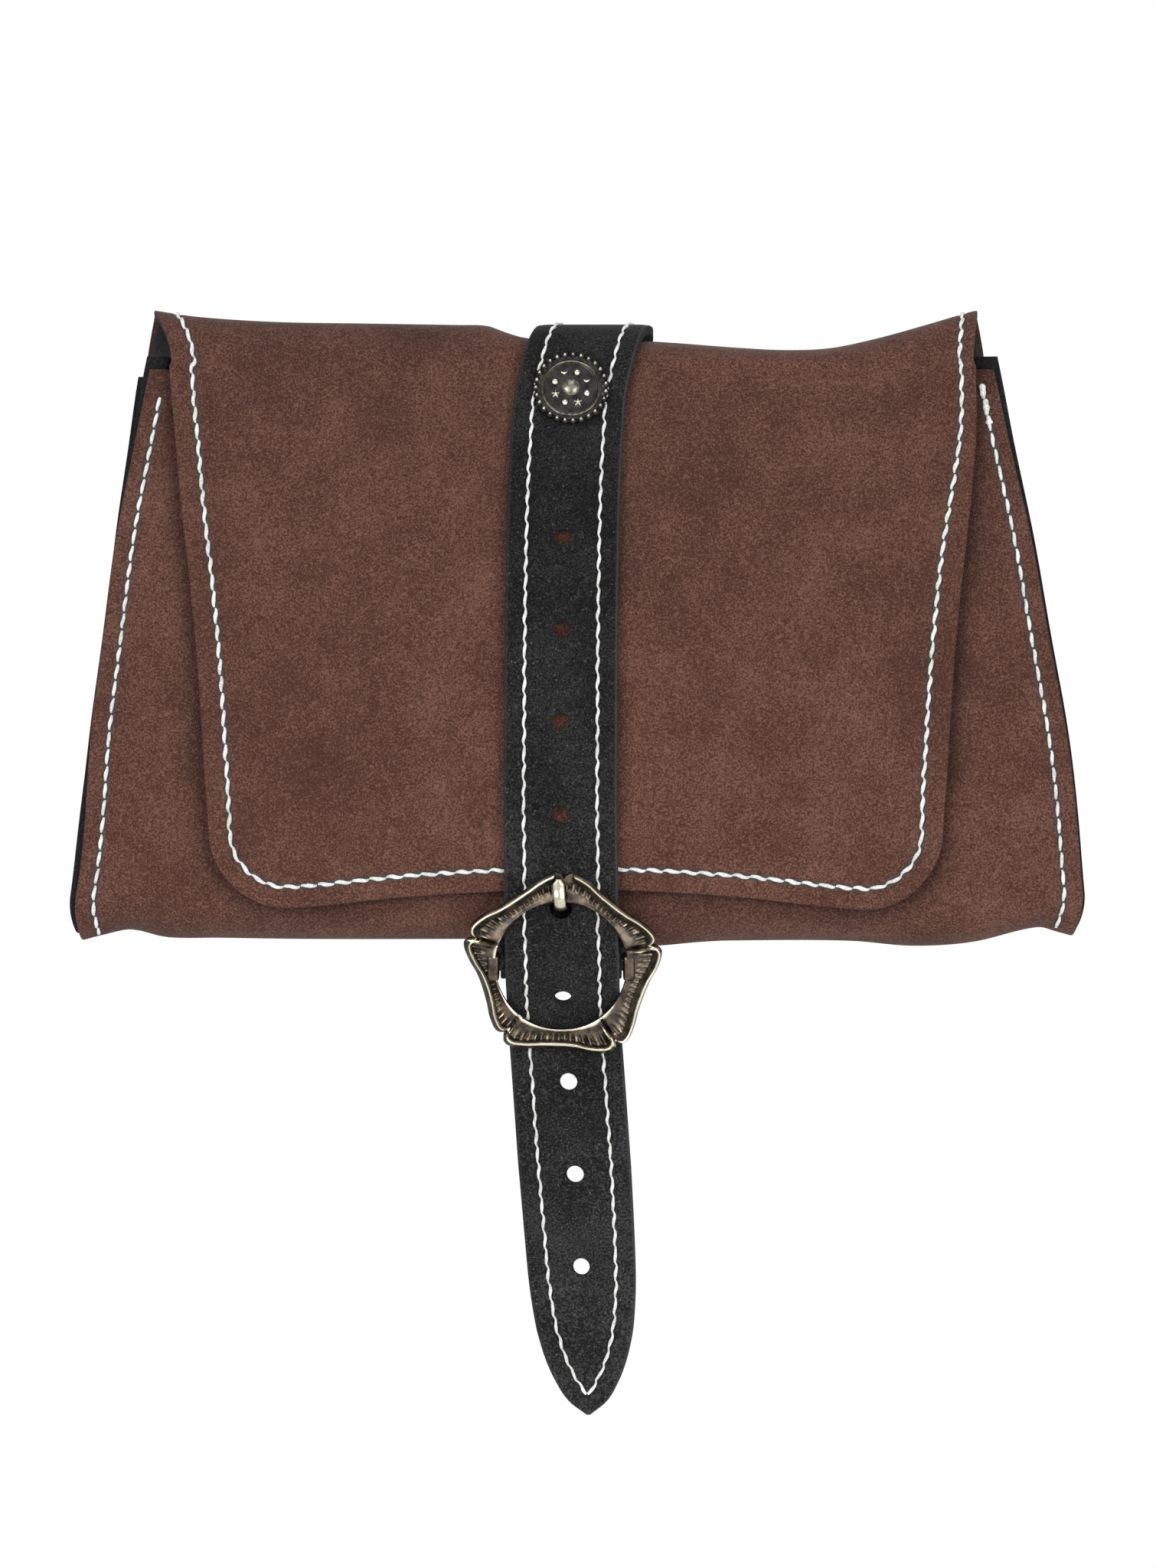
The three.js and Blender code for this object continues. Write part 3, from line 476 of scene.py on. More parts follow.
def cap(distance, radius):
    """Height of a round cap, 1 at its middle and 0 at its edge."""
    return np.sqrt(clamp(1 - (distance / radius) ** 2))


# The bag's surface


def by_height(rows, column, z):
    return follow(rows, column, z / FRONT_HEIGHT)


def front_half_width(z):
    return BOTTOM_HALF_WIDTH * by_height(FRONT_WIDTHS, "width", z)


def flap_half_width(z):
    return FLAP_HALF_WIDTH * by_height(FLAP_WIDTHS, "width", z)


def fold_height(across):
    return FOLD_RISE * follow(FOLD_LINE, "rise", across)


def depth_at(z, x):
    across = x / front_half_width(z)
    middle, side = (by_height(DEPTHS, column, z) for column in ("middle", "side"))
    return BAG_DEPTH * mix(side, middle, clamp(1 - across * across))


def margin_at(z, side):
    """How far a side wall shows past the front, on the left (-1) or the right (1)."""
    return np.where(side < 0, by_height(MARGINS, "left", z), by_height(MARGINS, "right", z))


def flap_edge_z(across):
    low = FLAP_EDGE_HEIGHT * (1 + follow(FLAP_EDGE, "rise", across))
    reach = (np.abs(across) - 1) * FLAP_HALF_WIDTH * FLAP_WIDTHS[0]["width"] + FLAP_CORNER_RADIUS
    drop = np.sqrt(np.maximum(FLAP_CORNER_RADIUS**2 - np.maximum(reach, 0) ** 2, 0))
    return low + FLAP_CORNER_RADIUS - drop


def down_flap(z, across=0.0):
    """Share of the way down the flap at a height."""
    return (FOLD_START - z) / (FOLD_START - flap_edge_z(across))


def skin(stage, across, inward=0.0):
    """Points of the bag's skin. A stage is a stretch's number and the share of the way along it,
    and inward is the depth below the outer face."""
    stage, across, inward = (np.atleast_1d(np.asarray(a, float)) for a in (stage, across, inward))
    stage, across, inward = np.broadcast_arrays(stage, across, inward)
    stretch = np.clip(np.floor(stage), FRONT, FLAP)
    part = stage - stretch
    turn = part * np.pi / 2
    bottom_depth = depth_at(FRONT_CORNER_RADIUS, across * BOTTOM_HALF_WIDTH)
    top = FRONT_HEIGHT - MOUTH_DIP * (1 - across * across) ** 2
    front_z = mix(top, FRONT_CORNER_RADIUS, part)
    half_turn = part * np.pi
    reach = (depth_at(FOLD_START, across * FLAP_HALF_WIDTH) + FOLD_LAYERS) / 2
    edge = np.maximum(np.abs(across), part)
    loft = FLAP_LOFT * gently((1 - edge) * 6) * gently(part * 3)
    flap_z = mix(FOLD_START, flap_edge_z(across), part)
    front_corner = FRONT_CORNER_RADIUS - inward
    back_corner = BACK_CORNER_RADIUS - inward
    z_of = [
        front_z,
        FRONT_CORNER_RADIUS - front_corner * np.sin(turn),
        inward,
        BACK_CORNER_RADIUS - back_corner * np.cos(turn),
        mix(BACK_CORNER_RADIUS, FOLD_START, part),
        FOLD_START + (fold_height(across) - inward) * np.sin(half_turn),
        flap_z,
    ]
    y_of = [
        inward - depth_at(front_z, across * front_half_width(front_z)),
        FRONT_CORNER_RADIUS - bottom_depth - front_corner * np.cos(turn),
        mix(FRONT_CORNER_RADIUS - bottom_depth, -BACK_CORNER_RADIUS, part),
        back_corner * np.sin(turn) - BACK_CORNER_RADIUS,
        -inward,
        (reach - inward) * np.cos(half_turn) - reach,
        inward - depth_at(flap_z, across * flap_half_width(flap_z)) - FOLD_LAYERS - loft,
    ]
    picks = [stretch == k for k in range(FLAP + 1)]
    z, y = np.select(picks, z_of), np.select(picks, y_of)

    upper = gently(z / FRONT_HEIGHT)
    lean = np.where(stretch < BACK, FRONT_LEAN, 1.0)
    wider = (BACK_TOP_HALF_WIDTH - front_half_width(FOLD_START)) * upper
    over, down = gently(part * 2), gently(part * 2 - 1)
    bag_half = front_half_width(z) + np.where(stretch < BACK, 0.0, wider)
    fold_half = mix(mix(BACK_TOP_HALF_WIDTH, FOLD_HALF_WIDTH, over), FLAP_HALF_WIDTH, down)
    bag_shift = FOLD_SHIFT * lean * upper + by_height(SWAY, "right", z)
    fold_shift = FOLD_SHIFT * (1 - down * (1 - FLAP_LEAN))
    flap_shift = FOLD_SHIFT * FLAP_LEAN * (1 - gently(part * 6))
    bag = stretch < FOLD
    picks = [bag, stretch == FOLD]
    half = np.select(picks, [bag_half, fold_half], flap_half_width(z))
    shift = np.select(picks, [bag_shift, fold_shift], flap_shift)
    near_bottom = gently(1 - z / (FRONT_HEIGHT * BOTTOM_LINE_REACH))
    lift = FRONT_CORNER_RADIUS * follow(BOTTOM_LINE, "rise", across) * near_bottom
    spread = np.sign(across) * (GUSSET_REACH - margin_at(z, across)) * across**4
    x = shift + half * across + np.where(bag, spread, 0)
    return np.stack([x, y, z + np.where(bag, lift, 0)], -1)


# Lines that the straps and the tongue follow


def marks_along(points):
    """How far along a row of points each one lies."""
    return np.concatenate([[0], np.cumsum(np.linalg.norm(np.diff(points, axis=0), axis=1))])


def points_at(along, marks, points):
    return np.stack([np.interp(along, marks, points[:, k]) for k in range(3)], -1)


class Line:
    """A smooth line through points, measured along its length. It lies in planes of constant X."""

    def __init__(self, points, parts=60):
        points = np.array(points, float)
        full = np.vstack([2 * points[0] - points[1], points, 2 * points[-1] - points[-2]])
        t = np.linspace(0, 1, parts, endpoint=False)[:, None]
        pieces = []
        for k in range(len(points) - 1):
            p0, p1, p2, p3 = full[k : k + 4]
            pairs = ((p0, p1), (p1, p2), (p2, p3))
            d0, d1, d2 = (math.sqrt(np.linalg.norm(b - a)) for a, b in pairs)
            m1 = ((p1 - p0) / d0 - (p2 - p0) / (d0 + d1) + (p2 - p1) / d1) * d1
            m2 = ((p2 - p1) / d1 - (p3 - p1) / (d1 + d2) + (p3 - p2) / d2) * d1
            bend = (3 * (p2 - p1) - 2 * m1 - m2) * t**2 + (2 * (p1 - p2) + m1 + m2) * t**3
            pieces.append(p1 + m1 * t + bend)
        self.points = np.vstack([*pieces, points[-1]])
        self.marks = marks_along(self.points)
        self.length = self.marks[-1]

    def point(self, along):
        return points_at(along, self.marks, self.points)

    def outward(self, along):
        """Unit direction out of the line's face."""
        way = self.point(np.asarray(along) + 0.4) - self.point(np.asarray(along) - 0.4)
        out = np.stack([np.zeros_like(way[..., 0]), -way[..., 2], way[..., 1]], -1)
        return out / np.linalg.norm(out, axis=-1, keepdims=True)

    def first_reach(self, z, start):
        """Distance along the line at which it first passes a height after start."""
        rising = (self.marks >= start) & (self.points[:, 2] >= z)
        return float(self.marks[np.argmax(rising)])

    def place(self, x, along, out):
        """Points at x from the line's middle and out from its face."""
        points = self.point(along) + self.outward(along) * np.asarray(out)[..., None]
        points[..., 0] += x
        return points


bar = np.array([STRAP_SHIFT, -(BAG_DEPTH + BAR_REACH), -BAR_DROP])
wrap_radius = BAR_RADIUS + SEAT_GAP + BUCKLE_STRAP_WALL
over_bar = wrap_radius + SEAT_GAP + STRAP_WALL / 2


def ring_back(z):
    return bar[1] - RING_SET_FORWARD - (z - bar[2]) * math.tan(RING_TILT)


def behind_rail(z):
    return ring_back(z) + SEAT_GAP + STRAP_WALL / 2


def on_flap(z):
    return float(skin(FLAP + down_flap(z), 0.0)[0, 1]) - SEAT_GAP - STRAP_WALL / 2


ring_chord = math.sqrt(RING_INNER_RADIUS**2 - (STRAP_WIDTH / 2) ** 2) * math.cos(RING_TILT)
arch_reach = (float(depth_at(FOLD_START, 0.0)) + FOLD_LAYERS) / 2
arch_top = FOLD_START + float(fold_height(0.04)) + LOOP_CLEARANCE + STRAP_WALL / 2
loop_y = BELT_SPACE + STRAP_WALL / 2
seat_y = SEAT_GAP + BUCKLE_STRAP_WALL + SEAT_GAP + STRAP_WALL / 2
pass_bottom = FOLD_START - BELT_PASS_HEIGHT
tail_hang = behind_rail(bar[2] - 26) + 0.6


def strap_points():
    """The strap from its tip up through the ring, up the front, over the fold and down the back."""
    tail = [
        (row["swing"], tail_hang + row["behind"], -BAR_DROP - TAIL_LENGTH * row["down"])
        for row in TAIL_PATH
    ]
    tail += [
        (0.14, tail_hang - 0.2, -BAR_DROP - RING_INNER_RADIUS * 1.05),
        (0.07, behind_rail(-BAR_DROP - ring_chord) - 1.5, -BAR_DROP - ring_chord),
    ]
    lower = [(STRAP_SHIFT + TAIL_SWING * swing, y, z) for swing, y, z in tail]
    lower += [
        (STRAP_SHIFT * 0.9, bar[1] - over_bar * math.cos(turn), bar[2] - over_bar * math.sin(turn))
        for turn in np.radians((30, 15, 0, -14))
    ]
    chord_z = ring_chord - BAR_DROP
    upper = [
        (0.0, behind_rail(chord_z) + 0.25, chord_z),
        (0.0, on_flap(FLAP_EDGE_HEIGHT * 2), FLAP_EDGE_HEIGHT + 1),
    ]
    for row in FLAP_PATH:
        z = FRONT_HEIGHT * row["height"]
        upper.append((row["lean"], on_flap(max(z, FLAP_EDGE_HEIGHT * 2)), z))
    for degrees in (30, 65, 95):
        turn = math.radians(degrees)
        y = -arch_reach - (arch_reach + SEAT_GAP + STRAP_WALL / 2) * math.cos(turn)
        z = FOLD_START + (arch_top - FOLD_START) * math.sin(turn)
        upper.append((mix(0.4, 0.95, degrees / 90), y, z))
    upper += [
        (1.02, loop_y * 0.25, arch_top - STRAP_WALL * 0.6),
        (1.0, loop_y * 0.82, arch_top - BELT_SPACE),
        (0.92, loop_y, mix(FOLD_START, pass_bottom, 0.083)),
        (0.6, loop_y, mix(FOLD_START, pass_bottom, 0.5)),
        (0.3, loop_y, mix(FOLD_START, pass_bottom, 0.9)),
        (0.22, mix(loop_y, seat_y, 0.35), pass_bottom - STRAP_SEAT * 0.045),
        (0.17, seat_y, pass_bottom - STRAP_SEAT * 0.25),
        (0.12, seat_y, pass_bottom - STRAP_SEAT * 0.5),
        (0.08, seat_y, pass_bottom - STRAP_SEAT),
    ]
    return [*lower, *((STRAP_SHIFT + STRAP_LEAN * lean, y, z) for lean, y, z in upper)]


strap_line = Line(strap_points())
tongue_hole_height = RING_INNER_RADIUS * math.cos(RING_TILT) - BAR_DROP - 2.2
tongue_hole_along = strap_line.first_reach(tongue_hole_height, TIP_LENGTH)
concho_along = strap_line.first_reach(CONCHO_HEIGHT, TIP_LENGTH)
rivet_height = pass_bottom - STRAP_SEAT + RIVET_EDGE


def strap_half_width(along):
    widening = follow(TIP_SHAPE, "width", along / TIP_LENGTH)
    return mix(TIP_WIDTH, STRAP_WIDTH, widening) / 2


def on_strap(x, along, out):
    """Points on the strap at x from its middle, with its edges bent back behind the ring."""
    z = strap_line.point(along)[..., 2]
    bend = CROWN_DEPTH * follow(CROWNS, "bend", (bar[2] - z) / RING_INNER_RADIUS)
    share = x / strap_half_width(along)
    return strap_line.place(x, along, out - np.where(z > 0, 0.0, bend) * share**2)


def buckle_strap_points():
    """The buckle's strap from the rivet down the back, under the bottom and round the bar."""
    low_z = float(skin(BOTTOM + 0.5, 0.0)[0, 2]) - SEAT_GAP - BUCKLE_STRAP_WALL / 2
    back_y = SEAT_GAP + BUCKLE_STRAP_WALL / 2
    front_y = FRONT_CORNER_RADIUS - BAG_DEPTH
    wrap = BAR_RADIUS + SEAT_GAP + BUCKLE_STRAP_WALL / 2
    corner = (BACK_CORNER_RADIUS + back_y) * math.sqrt(0.5)
    top = pass_bottom - BUCKLE_STRAP_DROP
    points = [
        (0.1, back_y, top),
        (0.1, back_y, mix(top, BACK_CORNER_RADIUS, 0.36)),
        (0.09, back_y, BACK_CORNER_RADIUS * 2.4),
        (0.07, back_y, BACK_CORNER_RADIUS),
        (0.05, corner - BACK_CORNER_RADIUS, BACK_CORNER_RADIUS - corner),
        (0.03, -BACK_CORNER_RADIUS, low_z),
        (0.01, mix(-BACK_CORNER_RADIUS, front_y, 0.6), low_z),
        (0.0, front_y - 2, low_z - 0.25),
    ]
    for turn in np.radians((75, 105, 140, 180, 220, 255, 290)):
        points.append((0.0, bar[1] + wrap * math.cos(turn), bar[2] + wrap * math.sin(turn)))
    points += [
        (0.0, bar[1] + wrap * 2.6, low_z - BUCKLE_STRAP_WALL - 2.3),
        (0.01, front_y - 1, low_z - BUCKLE_STRAP_WALL - 0.9),
        (0.02, front_y + TURN_BACK * 0.4, low_z - BUCKLE_STRAP_WALL - SEAT_GAP),
    ]
    return [(STRAP_SHIFT + STRAP_LEAN * lean, y, z) for lean, y, z in points]


# Meshes


def row_frame(points):
    """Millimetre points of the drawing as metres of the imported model."""
    return (np.asarray(points, float) - (0, BELT_SPACE / 2, FOLD_START)) * MM


def even_steps(start, end, step):
    return list(np.linspace(start, end, max(round((end - start) / step), 1) + 1))


def both_sides(middle, right):
    """A sheet's columns: those of its middle, and those of its right on both sides."""
    return [*(-x for x in reversed(right)), *middle, *right]


def sheet_rows(sheet):
    """The lines along a flat sheet, and the marks and stages at which its parts start."""
    marks = np.concatenate([[0], np.cumsum([row["length"] for row in sheet[:-1]])])
    rows = [0.0]
    for row, end in zip(sheet, marks[1:]):
        rows.extend(even_steps(rows[-1], end, row["step"])[1:])
    return rows, marks, [row["stage"] for row in sheet]


def flat_grid(columns, rows):
    """A flat sheet in the X-Y plane with a line at each column and row."""
    bm = bmesh.new()
    wide, tall = len(columns) - 1, len(rows) - 1
    bmesh.ops.create_grid(bm, x_segments=wide, y_segments=tall, size=1)
    for vert in bm.verts:
        i = round((vert.co.x + 1) / 2 * wide)
        j = round((vert.co.y + 1) / 2 * tall)
        vert.co = (columns[i], rows[j], 0)
    return bm


def punch(bm, x, y, radius, opening, patch):
    """Opens a round hole: the cells within opening go, and the lines around it turn into rings."""
    near = [v for v in bm.verts if abs(v.co.x - x) < patch + 1 and abs(v.co.y - y) < patch + 1]
    node = min(near, key=lambda v: abs(v.co.x - x) + abs(v.co.y - y)).co.copy()

    def square(point):
        return max(abs(c) for c in (point - node).xy)

    faces = {f for v in near for f in v.link_faces}
    middle = [f for f in faces if square(f.calc_center_median()) < opening]
    bmesh.ops.delete(bm, geom=middle, context="FACES")
    near = [v for v in near if v.is_valid]
    inner = min(square(v.co) for v in near)
    for vert in near:
        if square(vert.co) >= patch:
            continue
        t = (square(vert.co) - inner) / (patch - inner)
        ring = (vert.co - node).xy.normalized() * mix(radius, patch, t)
        keep = float(smooth(t))
        vert.co.x = mix(x + ring.x, vert.co.x, keep)
        vert.co.y = mix(y + ring.y, vert.co.y, keep)


def punch_for_concho(bm, marks, stages, opening, patch):
    """The hole for the concho's post in a sheet of the flap."""
    x = strap_line.point(concho_along)[0] / flap_half_width(CONCHO_HEIGHT) * SHARE_WIDTH
    mark = np.interp(FLAP + down_flap(CONCHO_HEIGHT), stages, marks)
    punch(bm, float(x), float(mark), POST_HOLE_RADIUS, opening, patch)


def thicken(bm, wall, rounding, segments=2):
    """Gives a flat sheet its wall, from 0 down to -wall, and rounds its cut edges."""
    bmesh.ops.solidify(bm, geom=bm.faces[:], thickness=wall)
    top = max(v.co.z for v in bm.verts)
    bmesh.ops.translate(bm, verts=bm.verts, vec=(0, 0, -top))
    bmesh.ops.recalc_face_normals(bm, faces=bm.faces)
    rim = {f for f in bm.faces if abs(f.normal.z) < 0.5}
    corners = [e for e in bm.edges if sum(f in rim for f in e.link_faces) == 1]
    round_edges(bm, corners, rounding, segments)


def round_edges(bm, edges, rounding, segments):
    bmesh.ops.bevel(
        bm, geom=edges, offset=rounding, segments=segments, profile=0.5, affect="EDGES", material=-1
    )


def draw_line(points):
    """A new drawing with one open line through points."""
    bm = bmesh.new()
    line = [bm.verts.new(point) for point in points]
    for a, b in zip(line, line[1:]):
        bm.edges.new((a, b))
    return bm


def spin_round(bm, axis, steps):
    """Spins all that is drawn once round an axis through the middle."""
    bmesh.ops.spin(
        bm, geom=bm.edges[:] + bm.verts[:], cent=(0, 0, 0), axis=axis, dvec=(0, 0, 0),
        angle=2 * math.pi, steps=steps, use_merge=True, use_normal_flip=False, use_duplicate=False,
    )
    bmesh.ops.remove_doubles(bm, verts=bm.verts, dist=0.0001)


def add_object(name, data):
    made = bpy.data.objects.new(name, data)
    bpy.context.scene.collection.objects.link(made)
    return made


def finish_mesh(bm, name, shape, sharp_deg=50):
    """Turns a drawing into a piece. From its flat points, shape gives their places and the masks
    that the finish reads."""
    mesh = bpy.data.meshes.new(name)
    bm.to_mesh(mesh)
    bm.free()
    flat = np.empty(len(mesh.vertices) * 3)
    mesh.vertices.foreach_get("co", flat)
    points, masks = shape(flat.reshape(-1, 3))
    mesh.vertices.foreach_set("co", row_frame(points).astype(np.float32).ravel())
    for mask, values in masks.items():
        layer = mesh.attributes.new(mask, "FLOAT", "POINT")
        layer.data.foreach_set("value", np.asarray(values, np.float32))
    bm = bmesh.new()
    bm.from_mesh(mesh)
    if bm.calc_volume(signed=True) < 0:
        bmesh.ops.reverse_faces(bm, faces=bm.faces)
    bm.to_mesh(mesh)
    bm.free()
    mesh.shade_smooth()
    mesh.set_sharp_from_angle(angle=math.radians(sharp_deg))
    return add_object(name, mesh)


def dress(piece, finish, nodes=()):
    """Puts a finished piece on the pouch."""
    piece.data.materials.clear()
    piece.data.materials.append(finish)
    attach(piece, "root")
    if nodes:
        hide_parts(*nodes)


# Sewn lines, as points on the face


def resample(points, step):
    """Points at even steps along a row of points, and their distances."""
    points = np.asarray(points, float)
    marks = marks_along(points)
    along = np.linspace(0, marks[-1], max(round(marks[-1] / step), 1) + 1)
    return points_at(along, marks, points), along


class Nearest:
    """Distance from a surface to the nearest of some lines."""

    def __init__(self, lines):
        points = np.vstack([resample(line, 0.4)[0] for line in lines])
        self.tree = kdtree.KDTree(len(points))
        for i, point in enumerate(points):
            self.tree.insert(Vector(point), i)
        self.tree.balance()

    def distance(self, points):
        return np.array([self.tree.find(Vector(point))[2] for point in points])


def flap_outline():
    """The flap's outline in X and Z: down the left, along the edge and up the right."""
    heights = np.linspace(FOLD_START, flap_edge_z(1.0), 80)
    left = np.stack([-flap_half_width(heights), heights], -1)
    across = np.linspace(-1, 1, 400)
    edge_z = flap_edge_z(across)
    edge = np.stack([across * flap_half_width(edge_z), edge_z], -1)
    return np.vstack([left, edge[1:-1], (left * (-1, 1))[::-1]])


def flap_seam():
    """The flap's sewn line on its face, nearer the edge at the top right."""
    outline = flap_outline()
    z = outline[:, 1]
    right = mix(FLAP_STITCH_RIGHT, FLAP_STITCH_TOP_RIGHT, ease(100, 150, z))
    at_side = np.where(outline[:, 0] < 0, FLAP_STITCH_LEFT, right)
    inset = mix(FLAP_STITCH_INSET, at_side, ease(20, 45, z))
    way = np.gradient(outline, axis=0)
    way /= np.linalg.norm(way, axis=1)[:, None]
    inner = outline + np.stack([-way[:, 1], way[:, 0]], -1) * inset[:, None]
    share = inner[:, 0] / flap_half_width(inner[:, 1])
    over = np.linspace(FOLD + 0.2, FOLD + 0.98, 30)
    down = FLAP + np.clip(down_flap(inner[:, 1], share), 0, 0.999)
    left_end = np.full(len(over), FLAP_STITCH_LEFT / FLAP_HALF_WIDTH - 1)
    right_end = np.full(len(over), 1 - FLAP_STITCH_TOP_RIGHT / FLAP_HALF_WIDTH)
    shares = np.concatenate([left_end, share, right_end])
    return skin(np.concatenate([over, down, over[::-1]]), shares)


def front_seam(side):
    stages = np.linspace(FRONT + FRONT_STITCH_TOPS[side], FRONT_CORNER + 0.75, 120)
    return skin(stages, side * (1 - FRONT_STITCH_INSET / BOTTOM_HALF_WIDTH))


def strap_seam(side, face):
    """A sewn line along the strap in from its edge, on the front (1) or the back (-1)."""
    along = np.linspace(0.5, strap_line.length - 3, 1600)
    slope = np.gradient(strap_half_width(along), along)
    inset = strap_half_width(along) - STRAP_STITCH_INSET * np.sqrt(1 + slope**2)
    keep = inset > 0.15
    return on_strap(side * inset[keep], along[keep], np.full(keep.sum(), face * STRAP_WALL / 2))


flap_line = flap_seam()
left_line, right_line = front_seam(-1), front_seam(1)
strap_lines = [strap_seam(side, face) for side in (-1, 1) for face in (-1, 1)]


# Leather pieces


def swell(stage, across):
    """Soft waves of the hide, in and out of the drawn surface, none at its edges and seams."""
    part = stage - np.floor(stage)
    on_face = ((stage < FRONT_CORNER) | (stage >= FLAP)) * gently((1 - np.abs(across)) * 9)
    ends = np.where(stage >= FLAP, gently((1 - part) * 9) * gently(part * 6), 1.0)
    wave = np.sin(across * 9.3 + 2.1 * np.sin(part * 4.1)) * 0.5
    wave += np.sin(part * 11.0 + 1.7 * across + 0.6) * 0.35
    wave += np.sin(across * 21.0 + part * 7.0) * 0.15
    return SWELL_DEPTH * wave * on_face * ends


def bag_skin():
    """Front, bottom, back, fold and flap in one, with the seams pressed in."""
    fine = SHARE_WIDTH * 0.9
    outer = even_steps(fine, SHARE_WIDTH, 0.55)
    rows, marks, stages = sheet_rows(SKIN_SHEET)
    bm = flat_grid(both_sides(even_steps(-fine, fine, 2.2)[1:-1], outer), rows)
    punch_for_concho(bm, marks, stages, opening=2.3, patch=7)
    up_back = (rivet_height - BACK_CORNER_RADIUS) / (FOLD_START - BACK_CORNER_RADIUS)
    rivet_mark = float(np.interp(BACK + up_back, stages, marks))
    rivet_x = RIVET_X / BOTTOM_HALF_WIDTH * SHARE_WIDTH
    punch(bm, rivet_x, rivet_mark, POST_HOLE_RADIUS, opening=5.1, patch=12)
    thicken(bm, SKIN_WALL, rounding=0.4)
    seams = Nearest([flap_line, left_line, right_line])
    outline = flap_outline()
    flap_rim = Nearest([np.stack([outline[:, 0], 0 * outline[:, 0], outline[:, 1]], -1)])

    def shape(flat):
        stage = np.interp(flat[:, 1], marks, stages)
        across, inward = flat[:, 0] / SHARE_WIDTH, -flat[:, 2]
        face = skin(stage, across)
        from_seam = seams.distance(face)
        from_rim = np.maximum(flap_rim.distance(face * (1, 0, 1)) - 0.5, 0)
        to_side = (1 - np.abs(across)) * SHARE_WIDTH
        to_edge = np.minimum.reduce([to_side, flat[:, 1], marks[-1] - flat[:, 1]])
        groove = GROOVE_DEPTH * bell(from_seam, GROOVE_WIDTH) * (inward < SKIN_WALL / 2)
        masks = {
            "seam": bell(from_seam, 1.15),
            # Painted shadow: the front is darkened within a few millimetres outside the flap's
            # edge, where the flap casts its shade
            "sheltered": bell(from_rim, 4.0) * (stage < BOTTOM),
            "cut_edge": (1 - ease(0.2, 0.7, to_edge)) * ease(0.0, 0.5, inward),
        }
        return skin(stage, across, inward + groove + swell(stage, across)), masks

    return finish_mesh(bm, "bag_skin", shape)


def flap_lining():
    """Black inner face of the fold and flap."""
    fine = SHARE_WIDTH * 0.86
    outer = even_steps(fine, SHARE_WIDTH, 1.4)
    rows, marks, stages = sheet_rows(LINING_SHEET)
    bm = flat_grid(both_sides(even_steps(-fine, fine, 4)[1:-1], outer), rows)
    punch_for_concho(bm, marks, stages, opening=4.1, patch=12)
    thicken(bm, LINING_WALL, rounding=0.25)

    def shape(flat):
        stage = np.interp(flat[:, 1], marks, stages)
        across = flat[:, 0] / SHARE_WIDTH * (1 - LINING_INSET / FLAP_HALF_WIDTH)
        return skin(stage, across, SKIN_WALL + SEAT_GAP - flat[:, 2] + swell(stage, across)), {}

    return finish_mesh(bm, "flap_lining_leather", shape)


def gusset(side):
    """A side wall folded in between its front, bottom and back seams, with the seam's flange."""
    flange = [-GUSSET_FLANGE, -GUSSET_FLANGE / 2]
    columns = [*flange, *np.linspace(0, 1, 23), *(1 - x for x in reversed(flange))]
    rows = [*flange, *np.linspace(0, 1, 47)]
    bm = flat_grid([100 * x for x in columns], [100 * y for y in rows])
    thicken(bm, GUSSET_WALL, rounding=0.35)
    back_top = (FRONT_HEIGHT - SEAT_GAP - BACK_CORNER_RADIUS) / (FOLD_START - BACK_CORNER_RADIUS)
    top_share = GUSSET_RISE / (FRONT_HEIGHT - FRONT_CORNER_RADIUS)
    low_front, low_back = FRONT_CORNER + 0.5, BACK_CORNER + 0.5

    def shape(flat):
        a, b, thick = flat[:, 0] / 100, flat[:, 1] / 100, -flat[:, 2]
        out = clamp(np.maximum.reduce([-a, a - 1, -b]) / GUSSET_FLANGE)
        a_in, b_in = clamp(a), clamp(b)

        def seam(stage, spread):
            share = side * mix(1 - SEAM_INSET / BOTTOM_HALF_WIDTH, 1.0, spread)
            place = skin(stage, share, SKIN_WALL + SEAT_GAP + thick)
            place[:, 0] += side * mix(thick, margin_at(place[:, 2], side), spread)
            return place

        def corner(stage):
            return seam(np.full_like(a, stage), 0)

        front_stage = mix(low_front, -top_share, b_in)
        back_stage = mix(low_back, BACK + back_top, b_in)
        low_stage = mix(low_front, low_back, a_in)
        to_back, up = a_in[:, None], b_in[:, None]
        high = mix(corner(-top_share), corner(BACK + back_top), to_back)
        corners = mix(corner(low_front), corner(low_back), to_back)
        place = mix(seam(front_stage, 0), seam(back_stage, 0), to_back)
        place += mix(seam(low_stage, 0), high, up) - mix(corners, high, up)
        folded = by_height(GUSSET_FOLDS, "inward", place[:, 2])
        place[:, 0] -= side * GUSSET_FOLD * folded * np.sin(np.pi * a_in) ** 1.3 * gently(b_in * 3)
        stage = np.select([a < 0, a > 1], [front_stage, back_stage], low_stage)
        return np.where((out > 0)[:, None], seam(stage, out), place), {}

    name = "gusset_leather_left" if side < 0 else "gusset_leather_right"
    return finish_mesh(bm, name, shape)


